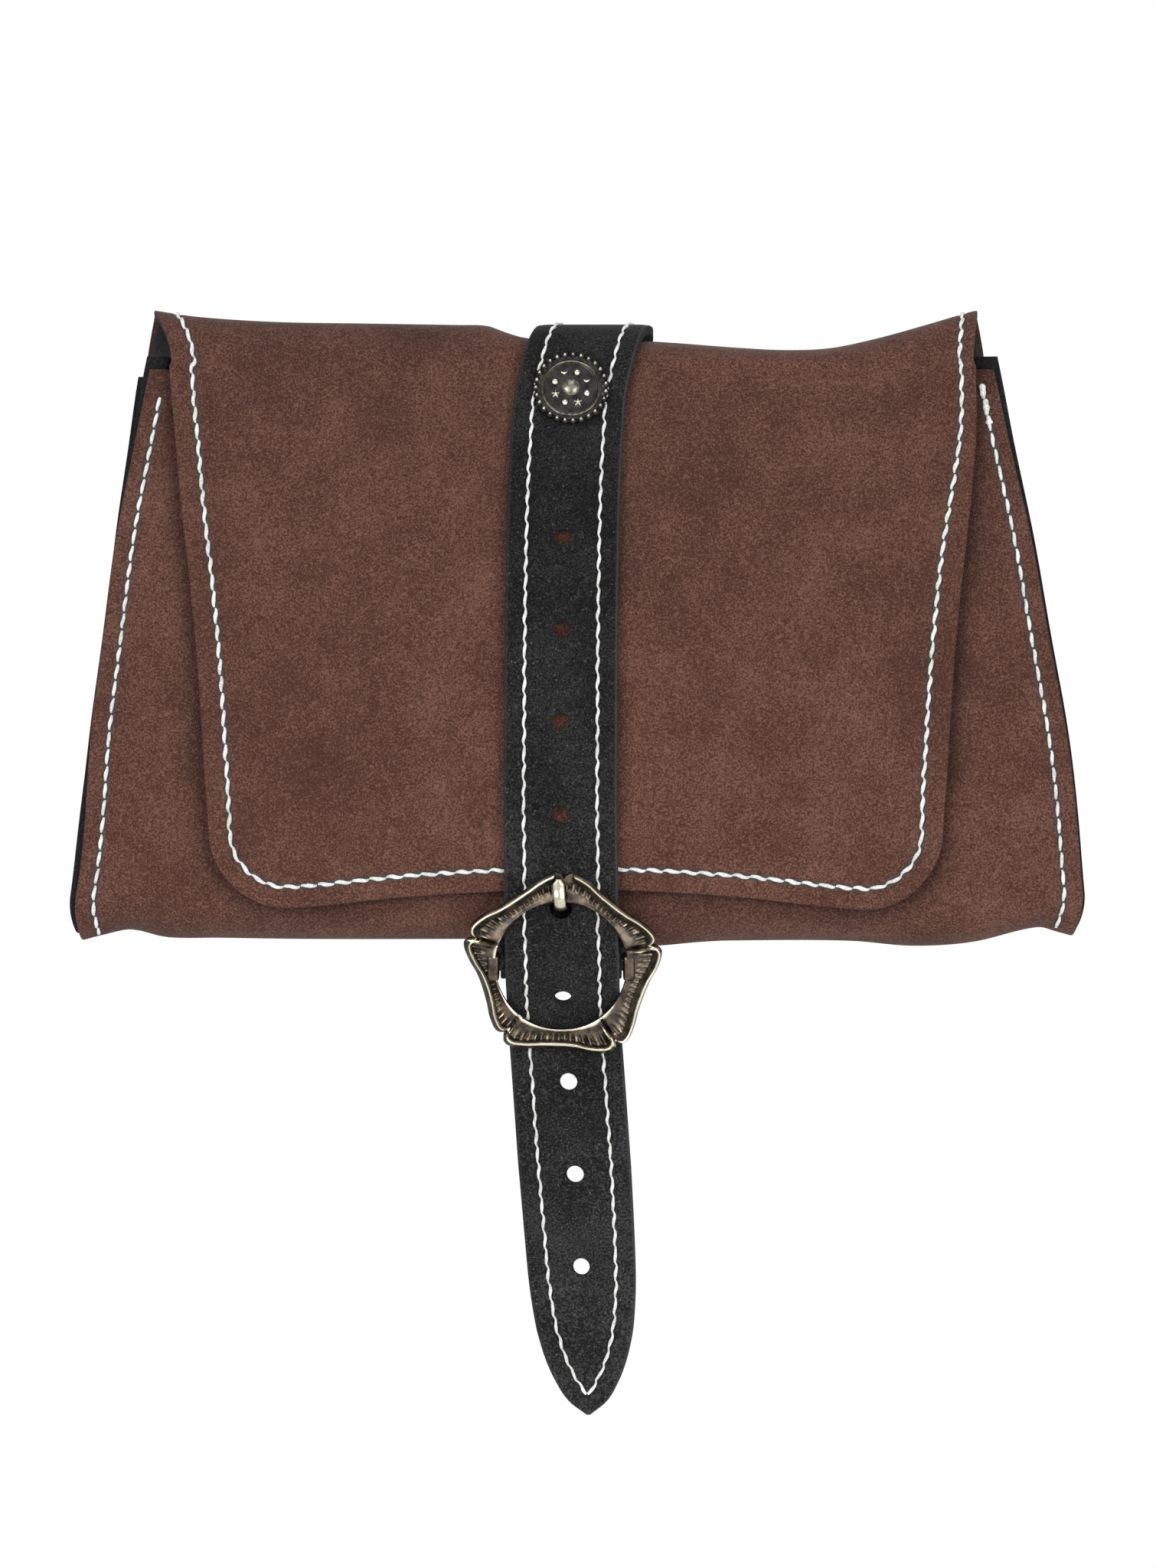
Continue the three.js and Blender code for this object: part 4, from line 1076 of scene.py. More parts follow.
def strap():
    """The long strap, two layers sewn along both edges, with its row of punched holes."""
    step = HOLE_PITCH / 36
    rows = np.arange(tongue_hole_along % step, strap_line.length, step)
    rows = [0.0, *rows[rows > step / 2]]
    rows[-1] = strap_line.length
    edge = STRAP_WIDTH / 2
    right = [*np.arange(step, 8.5, step), *STRAP_SEAM_LINES, edge]
    bm = flat_grid(both_sides([0.0], right), rows)
    holes = [(0.0, concho_along, POST_HOLE_RADIUS)]
    holes.append((0.3, strap_line.length - RIVET_EDGE, POST_HOLE_RADIUS))
    for k in range(-HOLES_EACH_WAY, HOLES_EACH_WAY + 1):
        radius = HOLE_RADIUS if k else HOLE_RADIUS + TONGUE_HOLE_EASE
        holes.append((0.0, tongue_hole_along + k * HOLE_PITCH, radius))
    for x, along, radius in holes:
        punch(bm, x, along, radius, opening=2.05, patch=5.2)
    thicken(bm, STRAP_WALL, rounding=0.45)
    upright = [e for e in bm.edges if abs(e.verts[0].co.z - e.verts[1].co.z) > STRAP_WALL / 2]
    bmesh.ops.subdivide_edges(bm, edges=upright, cuts=3, use_grid_fill=True)

    def shape(flat):
        x, along, up = flat[:, 0], flat[:, 1], flat[:, 2] + STRAP_WALL / 2
        half = strap_half_width(along)
        narrow = x * half / edge
        slope = (strap_half_width(along + 0.2) - strap_half_width(along - 0.2)) / 0.4
        inset = half - np.abs(narrow)
        from_seam = inset / np.sqrt(1 + slope**2) - STRAP_STITCH_INSET
        pressed = STRAP_GROOVE_DEPTH * bell(from_seam, 0.75) + STRAP_EDGE_DROP * bell(inset, 1.6)
        between_layers = STRAP_EDGE_DROP * bell(up, 0.3) * (inset < 0.6)
        # A paler line along the strap's edges on its face, stronger on the right edge
        pale_edge = bell(inset - 0.4, 0.25) * (flat[:, 2] > -STRAP_WALL * 0.3)
        in_middle = 1 - ease(STRAP_WALL * 0.3, STRAP_WALL * 0.5, np.abs(up))
        masks = {
            "rubbed": pale_edge * np.where(x > 0, 1.0, 0.4),
            "cut_edge": (1 - ease(0.05, 0.5, edge - np.abs(x))) * in_middle,
        }
        up = up * (1 - pressed / (STRAP_WALL / 2))
        return on_strap(narrow - np.sign(narrow) * between_layers, along, up), masks

    return finish_mesh(bm, "strap_leather", shape)


def buckle_strap():
    """The short strap that holds the buckle, slotted for the tongue where it goes round the bar."""
    line = Line(buckle_strap_points())
    edge = BUCKLE_STRAP_WIDTH / 2
    slot = TONGUE_SLOT_HALF_WIDTH
    side = [*even_steps(4, edge - 1.5, 1.5), edge - 0.7, edge]
    rows = [*even_steps(0, 80, 3), *even_steps(80, line.length, 0.8)[1:]]
    bm = flat_grid(both_sides(even_steps(-slot, slot, slot / 2), side), rows)

    def from_bar(along):
        return np.linalg.norm(line.point(along)[:, 1:] - bar[1:], axis=1)

    first, last = np.array(rows)[from_bar(np.array(rows)) < wrap_radius + 1.6][[0, -1]]
    middles = [(f, f.calc_center_median()) for f in bm.faces]
    opened = [f for f, middle in middles if abs(middle.x) < slot and first < middle.y < last]
    bmesh.ops.delete(bm, geom=opened, context="FACES")
    rivet_along = pass_bottom - BUCKLE_STRAP_DROP - rivet_height
    punch(bm, 0.1, rivet_along, POST_HOLE_RADIUS, opening=2.6, patch=6.5)
    thicken(bm, BUCKLE_STRAP_WALL, rounding=0.35)

    def shape(flat):
        x, along, up = flat.T
        wide = 1 + 0.07 * ease(5, 8, from_bar(along))
        cut_edge = (1 - ease(0.05, 0.5, edge - np.abs(x))) * ease(0.2, 0.5, -up)
        return line.place(x * wide, along, up + BUCKLE_STRAP_WALL / 2), {"cut_edge": cut_edge}

    return finish_mesh(bm, "buckle_strap_leather", shape)


# Thread


def front_side(way):
    """Sideways directions of a seam on the front, from the ways that it runs."""
    across = np.cross(way, (0.0, -1.0, 0.0))
    return across / np.linalg.norm(across, axis=1)[:, None]


def strap_side(way):
    """Sideways directions of a seam along the strap."""
    return np.tile([1.0, 0.0, 0.0], (len(way), 1))


def sewn_thread(name, lines, side_way, radius, swing, sink, doubled=None):
    """One thread along each line: long slanted stitches on the face and short ties sunk by sink.
    Doubled gives the place in lines and the length of a start sewn twice over."""
    curve = bpy.data.curves.new(name, "CURVE")
    curve.dimensions = "3D"
    curve.bevel_depth = MM
    curve.bevel_resolution = 2
    curve.use_fill_caps = True
    for i, points in enumerate(lines):
        places, along = resample(points, STITCH_PITCH / 12)
        way = np.gradient(places, axis=0)
        way /= np.linalg.norm(way, axis=1)[:, None]
        across = side_way(way)
        out = np.cross(across, way)
        phase = (along / STITCH_PITCH) % 1
        on_face = phase < LONG_STITCH
        stitch = clamp(phase / LONG_STITCH)
        tie = clamp((phase - LONG_STITCH) / (1 - LONG_STITCH))
        arch, dip = np.sin(np.pi * stitch), np.sin(np.pi * tie)
        slant = np.where(on_face, mix(-1, 1, smooth(stitch)), mix(1, -1, smooth(tie)))
        rise = 0.02 + np.where(on_face, 0.2 * arch, -sink * dip)
        wobble = 0.05 * np.sin(along * 0.9) + 0.04 * np.sin(along * 2.3 + 1)
        shifted = places + across * (slant * swing + wobble)[:, None] + out * rise[:, None]
        width = radius * (0.72 + np.where(on_face, 0.33 * arch, -0.12 * dip))
        width *= 1 + 0.07 * np.sin(along * 1.7 + 0.4)
        if doubled and i == doubled[0]:
            width *= np.where(along < doubled[1], 1.8 + 0.25 * np.sin(along * 3.1), 1.0)
        spline = curve.splines.new("POLY")
        spline.points.add(len(shifted) - 1)
        placed = row_frame(shifted)
        spline.points.foreach_set("co", np.hstack([placed, np.ones((len(placed), 1))]).ravel())
        spline.points.foreach_set("radius", width)
    holder = add_object(name + "_line", curve)
    bpy.context.view_layer.update()
    drawn = holder.evaluated_get(bpy.context.evaluated_depsgraph_get())
    mesh = bpy.data.meshes.new_from_object(drawn)
    bpy.data.objects.remove(holder)
    mesh.name = name
    mesh.shade_smooth()
    return add_object(name, mesh)


# Metal


def petal_at(turn):
    """The petal's row at an angle, with its span added, and the share of the way along it."""
    starts = np.array([petal["from"] for petal in PETALS])
    which = np.clip((turn[..., None] <= starts).sum(-1) - 1, 0, len(PETALS) - 1)
    petal = {key: np.array([row[key] for row in PETALS])[which] for key in PETALS[0]}
    petal["span"] = np.radians(petal["from"] - petal["to"])
    return petal, np.radians(petal["from"] - turn) / petal["span"]


def ring_surface(turn, round_share):
    """Radius, height, and brightness from wear and painted highlight, of the ring at an angle in
    degrees and a share round its section.
    """
    turn = np.mod(turn - NOTCH_TURN, 360) - 360 + NOTCH_TURN
    petal, share = petal_at(turn)
    corner = np.where(share < 0.5, petal["first"], petal["last"])
    outer = mix(petal["middle"], corner, follow(PETAL_OUTLINE, "radius", share))
    band, rim = (clamp(follow(RING_SECTION, column, round_share)) for column in ("band", "rim"))
    radius = mix(RING_INNER_RADIUS, outer - petal["rim"], band) + rim * petal["rim"]
    on_rim = (round_share > 0.42) & (round_share < 0.77)
    on_face = (round_share > 0.06) & (round_share < 0.78)

    past_crest = rim - petal["crest"]
    climb = mix(0.44, 1, gently(rim / petal["crest"]))
    fall = mix(1, 0.3, clamp(past_crest / (1 - petal["crest"])) ** 1.6)
    front = follow(RING_SECTION, "front", round_share)
    front = np.where(on_rim, np.where(past_crest < 0, climb, fall), front)
    crest = PETAL_CREST * mix(0.88, 1.08, (np.abs(share - 0.5) * 2) ** 2)
    fluted = ease(0.2, 0.32, round_share) * (1 - ease(0.43, 0.49, round_share))
    wave = np.cos(2 * np.pi * FLUTES * share) / 2
    height = crest * np.maximum(front, 0) - FLUTE_DEPTH * fluted * (0.5 + wave)

    ridge, tuck = np.zeros_like(height), np.zeros_like(height)
    for lip, part in ((petal["lip"], share), (petal["end_lip"], 1 - share)):
        from_corner = part * petal["span"] * radius
        ridge += lip * bell(from_corner - 0.75, 0.55)
        tuck += (1 - lip) * bell(from_corner, 0.6)
    ridge = clamp(ridge) * ease(0.1, 0.3, round_share) * on_face
    height = mix(height, np.maximum(height, crest), ridge)
    height *= 1 - 0.4 * clamp(tuck) * on_face
    from_notch = np.abs(np.mod(turn - NOTCH_TURN + 180, 360) - 180) * np.pi / 180 * radius
    notch = (1 - ease(NOTCH_HALF_WIDTH, NOTCH_HALF_WIDTH + 0.45, from_notch)) * on_face
    height = mix(height, np.minimum(height, NOTCH_HEIGHT), notch)

    # Painted highlight: the inner lip is drawn brighter towards the lower left, where it faces up
    # and right towards the light; crest lines and flute tips are bright from wear and painted
    # highlight
    lower_left = ease(-0.1, 0.55, np.cos(np.radians(turn - 238.0)))
    inner_edge = bell(round_share - 0.09, 0.042) * mix(0.3, 1.0, lower_left)
    crest_line = bell(past_crest * petal["rim"], 0.5) * on_rim
    edges = clamp(np.maximum.reduce([inner_edge, crest_line, ridge])) * (1 - notch)
    return radius, height, np.maximum(edges, fluted * (0.5 - wave) ** 3 * 0.7)


def ring_turned(points):
    """Points drawn on the flat ring, facing -Y round its own centre, tilted into place."""
    tilt = np.array(Matrix.Rotation(RING_TILT, 3, "X"))
    return points @ tilt.T + (bar[0], ring_back(bar[2]), bar[2])


def quarter_turn(bm, verts, axis):
    turned = Matrix.Rotation(math.pi / 2, 3, axis)
    bmesh.ops.rotate(bm, verts=verts, cent=(0, 0, 0), matrix=turned)


def buckle_ring():
    """The cast ring of five petals with a rolled rim, fluted bands and turned-in lips."""
    bm = bmesh.new()
    middle = 3
    circle = bmesh.ops.create_circle(bm, segments=RING_SIDES, radius=1)["verts"]
    quarter_turn(bm, circle, "X")
    bmesh.ops.translate(bm, verts=circle, vec=(middle, 0, 0))
    spin_round(bm, (0, 0, 1), RING_STEPS)

    def shape(flat):
        x, y, z = flat.T
        angle = np.arctan2(y, x)
        round_share = np.mod(np.arctan2(z, middle - np.hypot(x, y)) / (2 * np.pi), 1)
        radius, height, worn = ring_surface(np.degrees(angle), round_share)
        points = np.stack([radius * np.cos(angle), -height, radius * np.sin(angle)], -1)
        return ring_turned(points), {"worn": worn}

    return finish_mesh(bm, "buckle_ring", shape, 60)


def buckle_bar():
    """The bar behind the ring with a rounded lug at each end."""
    bm = bmesh.new()
    back = RING_SET_FORWARD * math.cos(RING_TILT)
    low = -RING_SET_FORWARD * math.sin(RING_TILT)
    rod = bmesh.ops.create_cone(
        bm, cap_ends=True, segments=32, radius1=BAR_RADIUS, radius2=BAR_RADIUS,
        depth=2 * (RING_INNER_RADIUS + LUG_WIDTH * 0.3),
    )["verts"]
    quarter_turn(bm, rod, "Y")
    bmesh.ops.translate(bm, verts=rod, vec=(0, back, low))
    deep = back + BAR_RADIUS + LUG_FORWARD
    for side in (-1, 1):
        lug = bmesh.ops.create_cube(bm, size=1)["verts"]
        bmesh.ops.scale(bm, verts=lug, vec=(LUG_WIDTH, deep, LUG_HEIGHT))
        bmesh.ops.translate(bm, verts=lug, vec=(side * LUG_PLACE, deep / 2 - LUG_FORWARD, low))
        edges = list({e for v in lug for e in v.link_edges})
        round_edges(bm, edges, rounding=0.9, segments=4)

    def shape(flat):
        return ring_turned(flat), {"worn": np.full(len(flat), 0.25)}

    return finish_mesh(bm, "buckle_bar", shape)


def tongue():
    """The prong: an eye round the bar, up through the strap's hole and over the ring's notch."""
    eye = BAR_RADIUS + SEAT_GAP + TONGUE_WALL / 2
    cosine = math.cos(RING_TILT)
    notch_z = bar[2] + (PETAL_CORNER_RADIUS - TONGUE_INSET) * cosine
    lip_z = bar[2] + RING_INNER_RADIUS * cosine
    rail_z = mix(lip_z, notch_z, 0.5)
    at = strap_line.point(tongue_hole_along)

    def over_ring(z):
        return ring_back(z) - NOTCH_HEIGHT - SEAT_GAP - TONGUE_WALL / 2

    turns = np.radians((85, 125, 165, 205, 245, 285, 325, 360))
    points = [(bar[1] + eye * math.cos(turn), bar[2] + eye * math.sin(turn)) for turn in turns]
    points += [
        (bar[1] + eye, bar[2] + eye * 2),
        (at[1] + STRAP_WALL * 1.25, at[2] - 4.2),
        (at[1] + STRAP_WALL * 0.5, at[2] - 0.6),
        (at[1] - STRAP_WALL * 0.5, at[2] + 0.5),
        (over_ring(lip_z) + 1.3, lip_z - TONGUE_WALL),
        (over_ring(lip_z) - 0.6, lip_z + 0.4),
        (over_ring(rail_z) - 0.1, rail_z),
        (over_ring(notch_z), notch_z),
    ]
    line = Line([(bar[0], y, z) for y, z in points])
    half = TONGUE_WIDTH / 2
    bm = flat_grid(even_steps(-half, half, 0.5), even_steps(0, line.length, 0.4))
    thicken(bm, TONGUE_WALL, rounding=0.4, segments=3)

    def shape(flat):
        x, along, up = flat[:, 0], flat[:, 1], flat[:, 2] + TONGUE_WALL / 2
        to_tip = line.length - along
        narrow = np.minimum(1, 0.8 + np.maximum(to_tip - 11, 0) * 0.1)
        lean = -0.7 * ease(-12, 0, -to_tip)
        crowned = up * (1 - 0.6 * (x / half) ** 2)
        nose = 1 - 0.5 * (1 - ease(0, 1.6, to_tip))
        # Painted highlight: the prong's front face is drawn bright near its tip
        worn = 0.7 * ease(0, 0.8, up) * ease(-12, -7, -to_tip)
        return line.place(x * narrow * nose + lean, along, crowned), {"worn": worn}

    return finish_mesh(bm, "tongue_prong", shape, 60)


def nearest_bead(turn):
    """Angle of the rim's bead that is nearest to an angle."""
    step = 2 * np.pi / BEAD_COUNT
    return (np.round(turn / step - 0.5) + 0.5) * step


def concho_relief(x, y):
    """Height of the concho over its disc, and how bright that place is from wear and painted
    highlight.
    """
    radius = np.hypot(x, y)
    turn = np.arctan2(y, x)
    floor = np.where(radius < CONCHO_RIDGE_RADIUS, 0.0, -0.35)
    ridge = bell(radius - CONCHO_RIDGE_RADIUS, 0.3)
    dome = 1.55 * cap(radius, CONCHO_DOME_RADIUS)
    moat = -0.25 * bell(radius - CONCHO_DOME_RADIUS - 0.25, 0.22)
    bead_turn = nearest_bead(turn)
    bead_ring = CONCHO_RADIUS - BEAD_RADIUS
    bead_far = np.hypot(x - bead_ring * np.cos(bead_turn), y - bead_ring * np.sin(bead_turn))
    bead_reach = BEAD_RADIUS * 1.04
    rim = np.where(bead_far < bead_reach, 1.25 * cap(bead_far, bead_reach) - 0.35, -9)

    motif_step = np.pi / 4
    place = np.round(turn / motif_step - MOTIF_TURN)
    motif_turn = (place + MOTIF_TURN) * motif_step
    u = x - MOTIF_RADIUS * np.cos(motif_turn)
    v = y - MOTIF_RADIUS * np.sin(motif_turn)
    far = np.hypot(u, v)
    kind = np.mod(place, 8)
    dot = 0.95 * cap(far, 0.95)
    bow = np.abs(np.hypot(u, v - 0.8) - 1.0) / (0.52 * clamp(1 - np.abs(u) / 1.4) + 0.03)
    moon = 0.8 * clamp(1 - bow**2) * (v < 0.7)
    star_edge = 1.1 + 0.36 * np.cos(5 * (np.arctan2(v, u) - np.pi / 2))
    star = 1.08 * clamp(1.15 - far / star_edge)
    motif = np.select([kind % 2 == 1, (kind == 2) | (kind == 0)], [dot, moon], star)
    relief = np.maximum.reduce([floor + 0.7 * ridge + moat, dome, floor + motif, rim])
    # Bright from wear and painted highlight on the ridge, dome and motifs, and a painted highlight
    # spot on each bead's top
    worn = np.maximum.reduce([
        ridge,
        0.5 * (radius < CONCHO_DOME_RADIUS),
        clamp(motif * 1.6) * 0.85,
        0.6 * (1 - ease(0.1, 0.5, bead_far)) + 0.2 * (bead_far < BEAD_RADIUS),
    ])
    return relief, worn


def concho():
    """The round ornament: beaded rim, raised ring, dome and small moons, stars and dots."""
    outer = even_steps(CONCHO_DOME_RADIUS, CONCHO_RADIUS, 0.155)
    radii = [*even_steps(0, CONCHO_DOME_RADIUS, 0.18), *outer[1:]]
    bm = draw_line([(radius, 0, 0) for radius in radii])
    spin_round(bm, (0, 0, 1), BEAD_COUNT * 12)
    disc_radius = CONCHO_RADIUS - BEAD_RADIUS * 0.75
    bead_ring = CONCHO_RADIUS - BEAD_RADIUS
    for vert in bm.verts:
        turn = math.atan2(vert.co.y, vert.co.x)
        off = (turn - nearest_bead(turn)) * bead_ring
        outline = max(bead_ring + math.sqrt(max(BEAD_RADIUS**2 - off * off, 0)), disc_radius)
        near_rim = ease(CONCHO_RADIUS - 1.2, CONCHO_RADIUS, vert.co.xy.length)
        vert.co.xy *= mix(1, outline / CONCHO_RADIUS, float(near_rim))
    face = np.array([v.co for v in bm.verts])
    for vert, height in zip(bm.verts, concho_relief(face[:, 0], face[:, 1])[0]):
        vert.co.z = SEAT_GAP + CONCHO_WALL + max(float(height), -0.6)

    stack = STRAP_WALL + SEAT_GAP + FOLD_LAYERS - FLAP_AIR + 2 * SEAT_GAP
    profile = [
        (disc_radius - 0.1, SEAT_GAP),
        (POST_RADIUS, SEAT_GAP),
        (POST_RADIUS, -stack),
        (INNER_HEAD_RADIUS, -stack),
        (INNER_HEAD_RADIUS, -stack - INNER_HEAD_WALL * 0.6),
        (INNER_HEAD_RADIUS * 0.8, -stack - INNER_HEAD_WALL),
    ]
    ring = [e for e in bm.edges if e.is_boundary]
    for radius, height in profile:
        grown = bmesh.ops.extrude_edge_only(bm, edges=ring)["geom"]
        ring = [g for g in grown if isinstance(g, bmesh.types.BMEdge)]
        for vert in [g for g in grown if isinstance(g, bmesh.types.BMVert)]:
            vert.co.xy = vert.co.xy.normalized() * radius
            vert.co.z = height
    bmesh.ops.holes_fill(bm, edges=ring)
    bmesh.ops.recalc_face_normals(bm, faces=bm.faces)
    out = strap_line.outward(concho_along)
    up = np.array([0.0, out[2], -out[1]])
    seat = strap_line.point(concho_along) + out * STRAP_WALL / 2

    def shape(flat):
        x, y, z = flat.T
        worn = np.where(z > SEAT_GAP + 0.2, concho_relief(x, y)[1], 0.1)
        return seat + flat @ np.array([(1.0, 0, 0), up, out]), {"worn": worn}

    return finish_mesh(bm, "concho_plate", shape, 60)


def back_rivet():
    """The rivet that holds both straps to the back."""
    outer = seat_y + STRAP_WALL / 2 + SEAT_GAP
    inner = -SKIN_WALL - SEAT_GAP
    profile = [
        (0, inner - INNER_HEAD_WALL),
        (INNER_HEAD_RADIUS * 0.7, inner - INNER_HEAD_WALL),
        (INNER_HEAD_RADIUS, inner - INNER_HEAD_WALL * 0.5),
        (INNER_HEAD_RADIUS, inner),
        (POST_RADIUS, inner),
        (POST_RADIUS, outer),
        (RIVET_HEAD_RADIUS, outer),
        (RIVET_HEAD_RADIUS, outer + RIVET_HEAD_WALL * 0.3),
        (RIVET_HEAD_RADIUS * 0.85, outer + RIVET_HEAD_WALL * 0.75),
        (RIVET_HEAD_RADIUS * 0.5, outer + RIVET_HEAD_WALL * 0.95),
        (0, outer + RIVET_HEAD_WALL),
    ]
    bm = draw_line([(radius, y, 0) for radius, y in profile])
    spin_round(bm, (0, 1, 0), 48)
    bmesh.ops.recalc_face_normals(bm, faces=bm.faces)

    def shape(flat):
        worn = ease(outer, outer + RIVET_HEAD_WALL, flat[:, 1]) * 0.8
        return flat + (RIVET_X, 0, rivet_height), {"worn": worn}

    return finish_mesh(bm, "rivet_metal", shape, 40)


# Finishes


class Signal:
    """A socket that carries a number, with arithmetic that adds Math nodes."""

    def __init__(self, tree, socket):
        self.tree = tree
        self.socket = socket

    def _math(self, operation, *values):
        return self.tree.node("ShaderNodeMath", {"operation": operation}, dict(enumerate(values)))

    def __add__(self, other):
        return self._math("ADD", self, other)

    __radd__ = __add__

    def __sub__(self, other):
        return self._math("SUBTRACT", self, other)

    def __rsub__(self, other):
        return self._math("SUBTRACT", other, self)

    def __mul__(self, other):
        return self._math("MULTIPLY", self, other)

    __rmul__ = __mul__

    def between(self, low, high):
        """0 at low, 1 at high, smooth between."""
        inputs = {"Value": self, "From Min": low, "From Max": high}
        return self.tree.node("ShaderNodeMapRange", {"interpolation_type": "SMOOTHSTEP"}, inputs)


class Tree:
    """The nodes of a material or of the world."""

    def __init__(self, owner):
        owner.use_nodes = True
        self.nodes = owner.node_tree.nodes
        self.links = owner.node_tree.links

    def node(self, kind, settings, inputs, output=0):
        made = self.nodes.new(kind)
        for key, value in settings.items():
            setattr(made, key, value)
        for key, value in inputs.items():
            self.feed(made.inputs[key], value)
        return Signal(self, made.outputs[output])

    def feed(self, socket, value):
        if isinstance(value, Signal):
            self.links.new(value.socket, socket)
        elif isinstance(value, tuple) and len(value) == 3 and socket.type == "RGBA":
            socket.default_value = (*value, 1)
        else:
            socket.default_value = value


class Finish(Tree):
    """A material built from nodes."""

    def __init__(self, name):
        self.material = bpy.data.materials.new(name)
        super().__init__(self.material)
        self.shader = self.nodes["Principled BSDF"]
        self.place = self.node("ShaderNodeTexCoord", {}, {}, "Object")

    def noise(self, size_mm, detail, rough, distortion=0.0):
        """Noise whose lumps are about size_mm across, from about 0.3 to 0.7 round 0.5."""
        inputs = {
            "Vector": self.place,
            "Scale": 1000 / size_mm,
            "Detail": detail,
            "Roughness": rough,
            "Distortion": distortion,
        }
        return self.node("ShaderNodeTexNoise", {}, inputs)

    def height(self):
        """The place's height in metres."""
        return self.node("ShaderNodeSeparateXYZ", {}, {"Vector": self.place}, "Z")

    def mask(self, name):
        return self.node("ShaderNodeAttribute", {"attribute_name": name}, {}, "Fac")

    def blend(self, factor, low, high):
        """A colour between two."""
        return self.node("ShaderNodeMix", {"data_type": "RGBA"}, {0: factor, 6: low, 7: high}, 2)

    def shade(self, colour, strength):
        """A colour made lighter or darker."""
        settings = {"operation": "SCALE"}
        return self.node("ShaderNodeVectorMath", settings, {0: colour, "Scale": strength})

    def bump(self, height, depth_mm, strength):
        inputs = {"Height": height, "Distance": depth_mm * MM, "Strength": strength}
        return self.node("ShaderNodeBump", {}, inputs)

    def set(self, **inputs):
        for key, value in inputs.items():
            self.feed(self.shader.inputs[key.replace("_", " ")], value)
        return self.material


def suede(name, dark, light, sheen, edge_colour=None, seam_and_painted_shade=0.0, speck=0.0):
    """Napped hide: fine pile, faint clumps and clouds. With its seam and shade strength set it is
    darker beside seams, drawn darker towards the top as painted shade and given a painted shadow
    under the flap's rim; with speck it has pale flecks and a paler line along its edges."""
    finish = Finish(name)
    pile = finish.noise(0.5, 2.0, 0.65)
    clumps = finish.noise(2.0, 2.0, 0.55)
    patches = finish.noise(15.0, 3.0, 0.55)
    clouds = finish.noise(55.0, 2.0, 0.5)
    tone = pile * 2.2 + clumps * 0.35 + patches * 0.6 + clouds * 0.35 - 1.25
    colour = finish.blend(tone.between(0.2, 1.05), dark, light)
    if seam_and_painted_shade:
        # Painted shade: the hide is drawn darker towards the top, standing in for less light
        # falling there
        colour = finish.shade(colour, 1.05 - finish.height().between(-0.16, 0.0) * 0.14)
        # Painted shadow under the flap's rim, darkening the front beside the flap's edge
        colour = finish.shade(colour, 1 - finish.mask("sheltered") * 0.32)
        beside = finish.mask("seam").between(0.3, 0.8)
        colour = finish.blend(beside * seam_and_painted_shade, colour, (0.052, 0.06, 0.06))
    if edge_colour:
        colour = finish.blend(finish.mask("cut_edge"), colour, edge_colour)
    if speck:
        colour = finish.shade(colour, 1.3 - finish.height().between(-0.26, -0.01) * 0.6)
        flecks = finish.noise(0.5, 1.0, 0.5).between(0.7, 0.78)
        colour = finish.blend(flecks * speck, colour, (0.2, 0.2, 0.21))
        # Paler line along the strap's edges
        colour = finish.blend(finish.mask("rubbed") * 0.7, colour, (0.06, 0.06, 0.062))
    normal = finish.bump(pile * 1.1 + clumps * 0.5 + patches * 0.4, 0.5, 0.6)
    finish.set(Sheen_Weight=sheen, Sheen_Roughness=0.45, Specular_IOR_Level=0.15)
    return finish.set(Base_Color=colour, Roughness=0.86 + pile * 0.14, Normal=normal)


def smooth_leather(name, dark, light):
    """The hide's smooth side: matt, with fine pores and creases."""
    finish = Finish(name)
    pores = finish.noise(1.1, 3.0, 0.6)
    creases = finish.noise(6.0, 3.0, 0.6, distortion=1.2)
    colour = finish.blend((pores * 0.8 + creases * 0.8 - 0.4).between(0.1, 0.8), dark, light)
    normal = finish.bump(pores * 0.4 + creases * 0.8, 0.35, 0.5)
    finish.set(Specular_IOR_Level=0.3)
    return finish.set(Base_Color=colour, Roughness=0.5 + pores * 0.2, Normal=normal)


def waxed_thread(name, soiled, clean):
    """Thick waxed thread, slightly soiled in its twist."""
    finish = Finish(name)
    fibre = finish.noise(0.35, 2.0, 0.6)
    soil = finish.noise(5.0, 2.0, 0.5)
    colour = finish.blend((fibre * 1.1 + soil * 0.5 - 0.4).between(0.1, 0.6), soiled, clean)
    return finish.set(Base_Color=colour, Roughness=0.75, Normal=finish.bump(fibre, 0.15, 0.6))


def aged_brass(name, dark, brown, bright=(0.97, 0.92, 0.72)):
    """Cast brass with dark patina in its hollows, and bright edges from wear and painted
    highlights.
    """
    finish = Finish(name)
    worn = finish.mask("worn")
    cloud = finish.noise(2.6, 3.0, 0.6)
    grain = finish.noise(0.5, 2.0, 0.6)
    brightness = (worn * 1.3 + (cloud - 0.5) * 0.5 + (grain - 0.5) * 0.3).between(0.4, 1.15)
    patina = finish.blend(cloud.between(0.35, 0.65), dark, brown)
    colour = finish.blend(brightness, patina, bright)
    rough = 0.4 - brightness * 0.18 + (grain - 0.5) * 0.15
    normal = finish.bump(cloud * 0.6 + grain * 0.4, 0.12, 0.5)
    finish.set(Metallic=1.0)
    return finish.set(Base_Color=colour, Roughness=rough, Normal=normal)


# Camera, floor and light, in metres

LAMPS = table(
    "name place size power",
    ("key_light", (-0.75, -1.3, 0.1), 0.8, 11.5),
    ("fill_light", (0.8, -1.3, -0.05), 0.8, 9.5),
    ("top_light", (0.05, -0.5, 1.3), 0.6, 4.5),
    ("back_light", (0.3, 1.4, 0.8), 0.8, 6.0),
)
LAMPS_AIM = Vector((0, 0, -0.09))


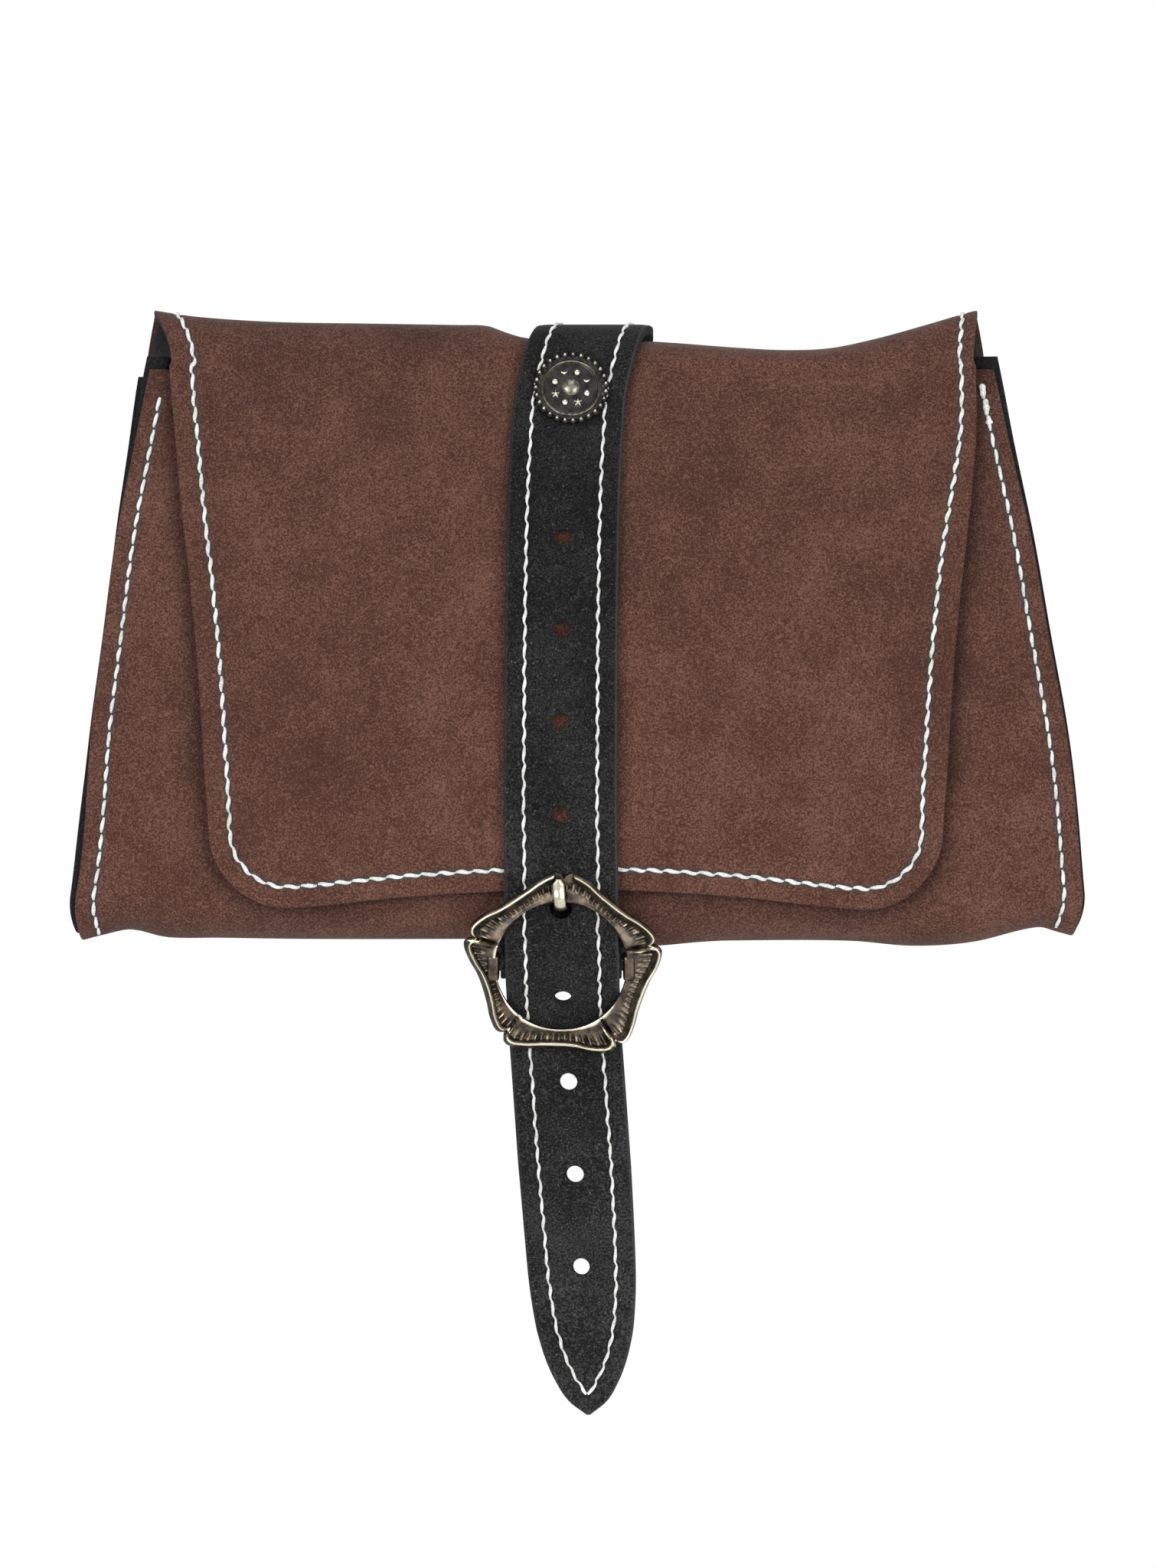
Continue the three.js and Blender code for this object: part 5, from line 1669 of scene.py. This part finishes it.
def studio():
    camera = add_object("camera", bpy.data.cameras.new("camera"))
    camera.location = (0.0006, -1.0485, -0.1139)
    camera.rotation_euler = (math.pi / 2, 0, 0)
    camera.data.lens = 86.13
    bpy.context.scene.camera = camera
    bpy.context.scene.view_settings.view_transform = "Standard"

    bm = bmesh.new()
    bmesh.ops.create_grid(bm, x_segments=1, y_segments=1, size=1.9)
    bmesh.ops.translate(bm, verts=bm.verts, vec=(0, 0, -0.75))
    mesh = bpy.data.meshes.new("floor")
    bm.to_mesh(mesh)
    bm.free()
    floor = add_object("floor", mesh)
    pale = Finish("pale_floor")
    mottle = pale.blend(pale.noise(60, 2.0, 0.5), (0.86, 0.86, 0.86), (0.9, 0.9, 0.9))
    mesh.materials.append(pale.set(Base_Color=mottle, Roughness=0.9))

    world = bpy.data.worlds.new("studio")
    sky = Tree(world)
    seen = sky.node("ShaderNodeLightPath", {}, {}, "Is Camera Ray")
    strength = sky.node("ShaderNodeMapRange", {}, {"Value": seen, "To Min": 0.42, "To Max": 1.0})
    background = sky.nodes["Background"].inputs
    sky.feed(background["Color"], (1.0, 1.0, 1.0))
    sky.feed(background["Strength"], strength)
    bpy.context.scene.world = world

    for row in LAMPS:
        lamp = bpy.data.lights.new(row["name"], "AREA")
        lamp.size = row["size"]
        lamp.energy = row["power"]
        holder = add_object(row["name"], lamp)
        holder.location = row["place"]
        toward = LAMPS_AIM - Vector(row["place"])
        holder.rotation_euler = toward.to_track_quat("-Z", "Y").to_euler()


studio()

brown_suede = suede(
    "brown_suede", dark=(0.057, 0.0228, 0.0163), light=(0.178, 0.0865, 0.0625), sheen=0.08,
    edge_colour=(0.032, 0.022, 0.019), seam_and_painted_shade=0.75,
)
strap_suede = suede(
    "black_strap_suede", dark=(0.005, 0.005, 0.0053), light=(0.042, 0.042, 0.0435), sheen=0.05,
    edge_colour=(0.035, 0.035, 0.036), speck=0.4,
)
side_suede = suede(
    "black_side_suede", dark=(0.007, 0.007, 0.0075), light=(0.024, 0.024, 0.025), sheen=0.05
)
lining_leather = smooth_leather(
    "black_lining", dark=(0.008, 0.008, 0.0085), light=(0.024, 0.024, 0.026)
)
white_thread = waxed_thread("white_thread", soiled=(0.42, 0.42, 0.4), clean=(0.9, 0.9, 0.88))
brass = aged_brass("antique_brass", dark=(0.055, 0.05, 0.045), brown=(0.17, 0.13, 0.095))
grey_brass = aged_brass(
    "grey_antique_brass", dark=(0.035, 0.035, 0.035), brown=(0.075, 0.071, 0.066)
)

dress(bag_skin(), brown_suede, ["body"])
dress(flap_lining(), lining_leather, ["flap_lining"])
dress(gusset(-1), side_suede, ["gusset_left"])
dress(gusset(1), side_suede, ["gusset_right"])
dress(strap(), strap_suede, ["strap"])
dress(buckle_strap(), strap_suede, ["buckle_strap"])
dress(buckle_ring(), brass, ["buckle_frame"])
dress(buckle_bar(), brass, ["buckle_frame"])
dress(tongue(), brass, ["buckle_tongue"])
dress(concho(), grey_brass, ["concho"])
dress(back_rivet(), brass, ["back_rivet"])

flap_thread = sewn_thread(
    "flap_stitching", [flap_line], front_side, radius=0.55, swing=0.24, sink=0.75
)
front_thread = sewn_thread(
    "front_stitching", [left_line, right_line], front_side, radius=0.52, swing=0.12, sink=1.4,
    doubled=(1, 11),
)
strap_thread = sewn_thread(
    "strap_stitching", strap_lines, strap_side, radius=0.45, swing=0.2, sink=0.4
)
for stitching in (flap_thread, front_thread, strap_thread):
    dress(stitching, white_thread)
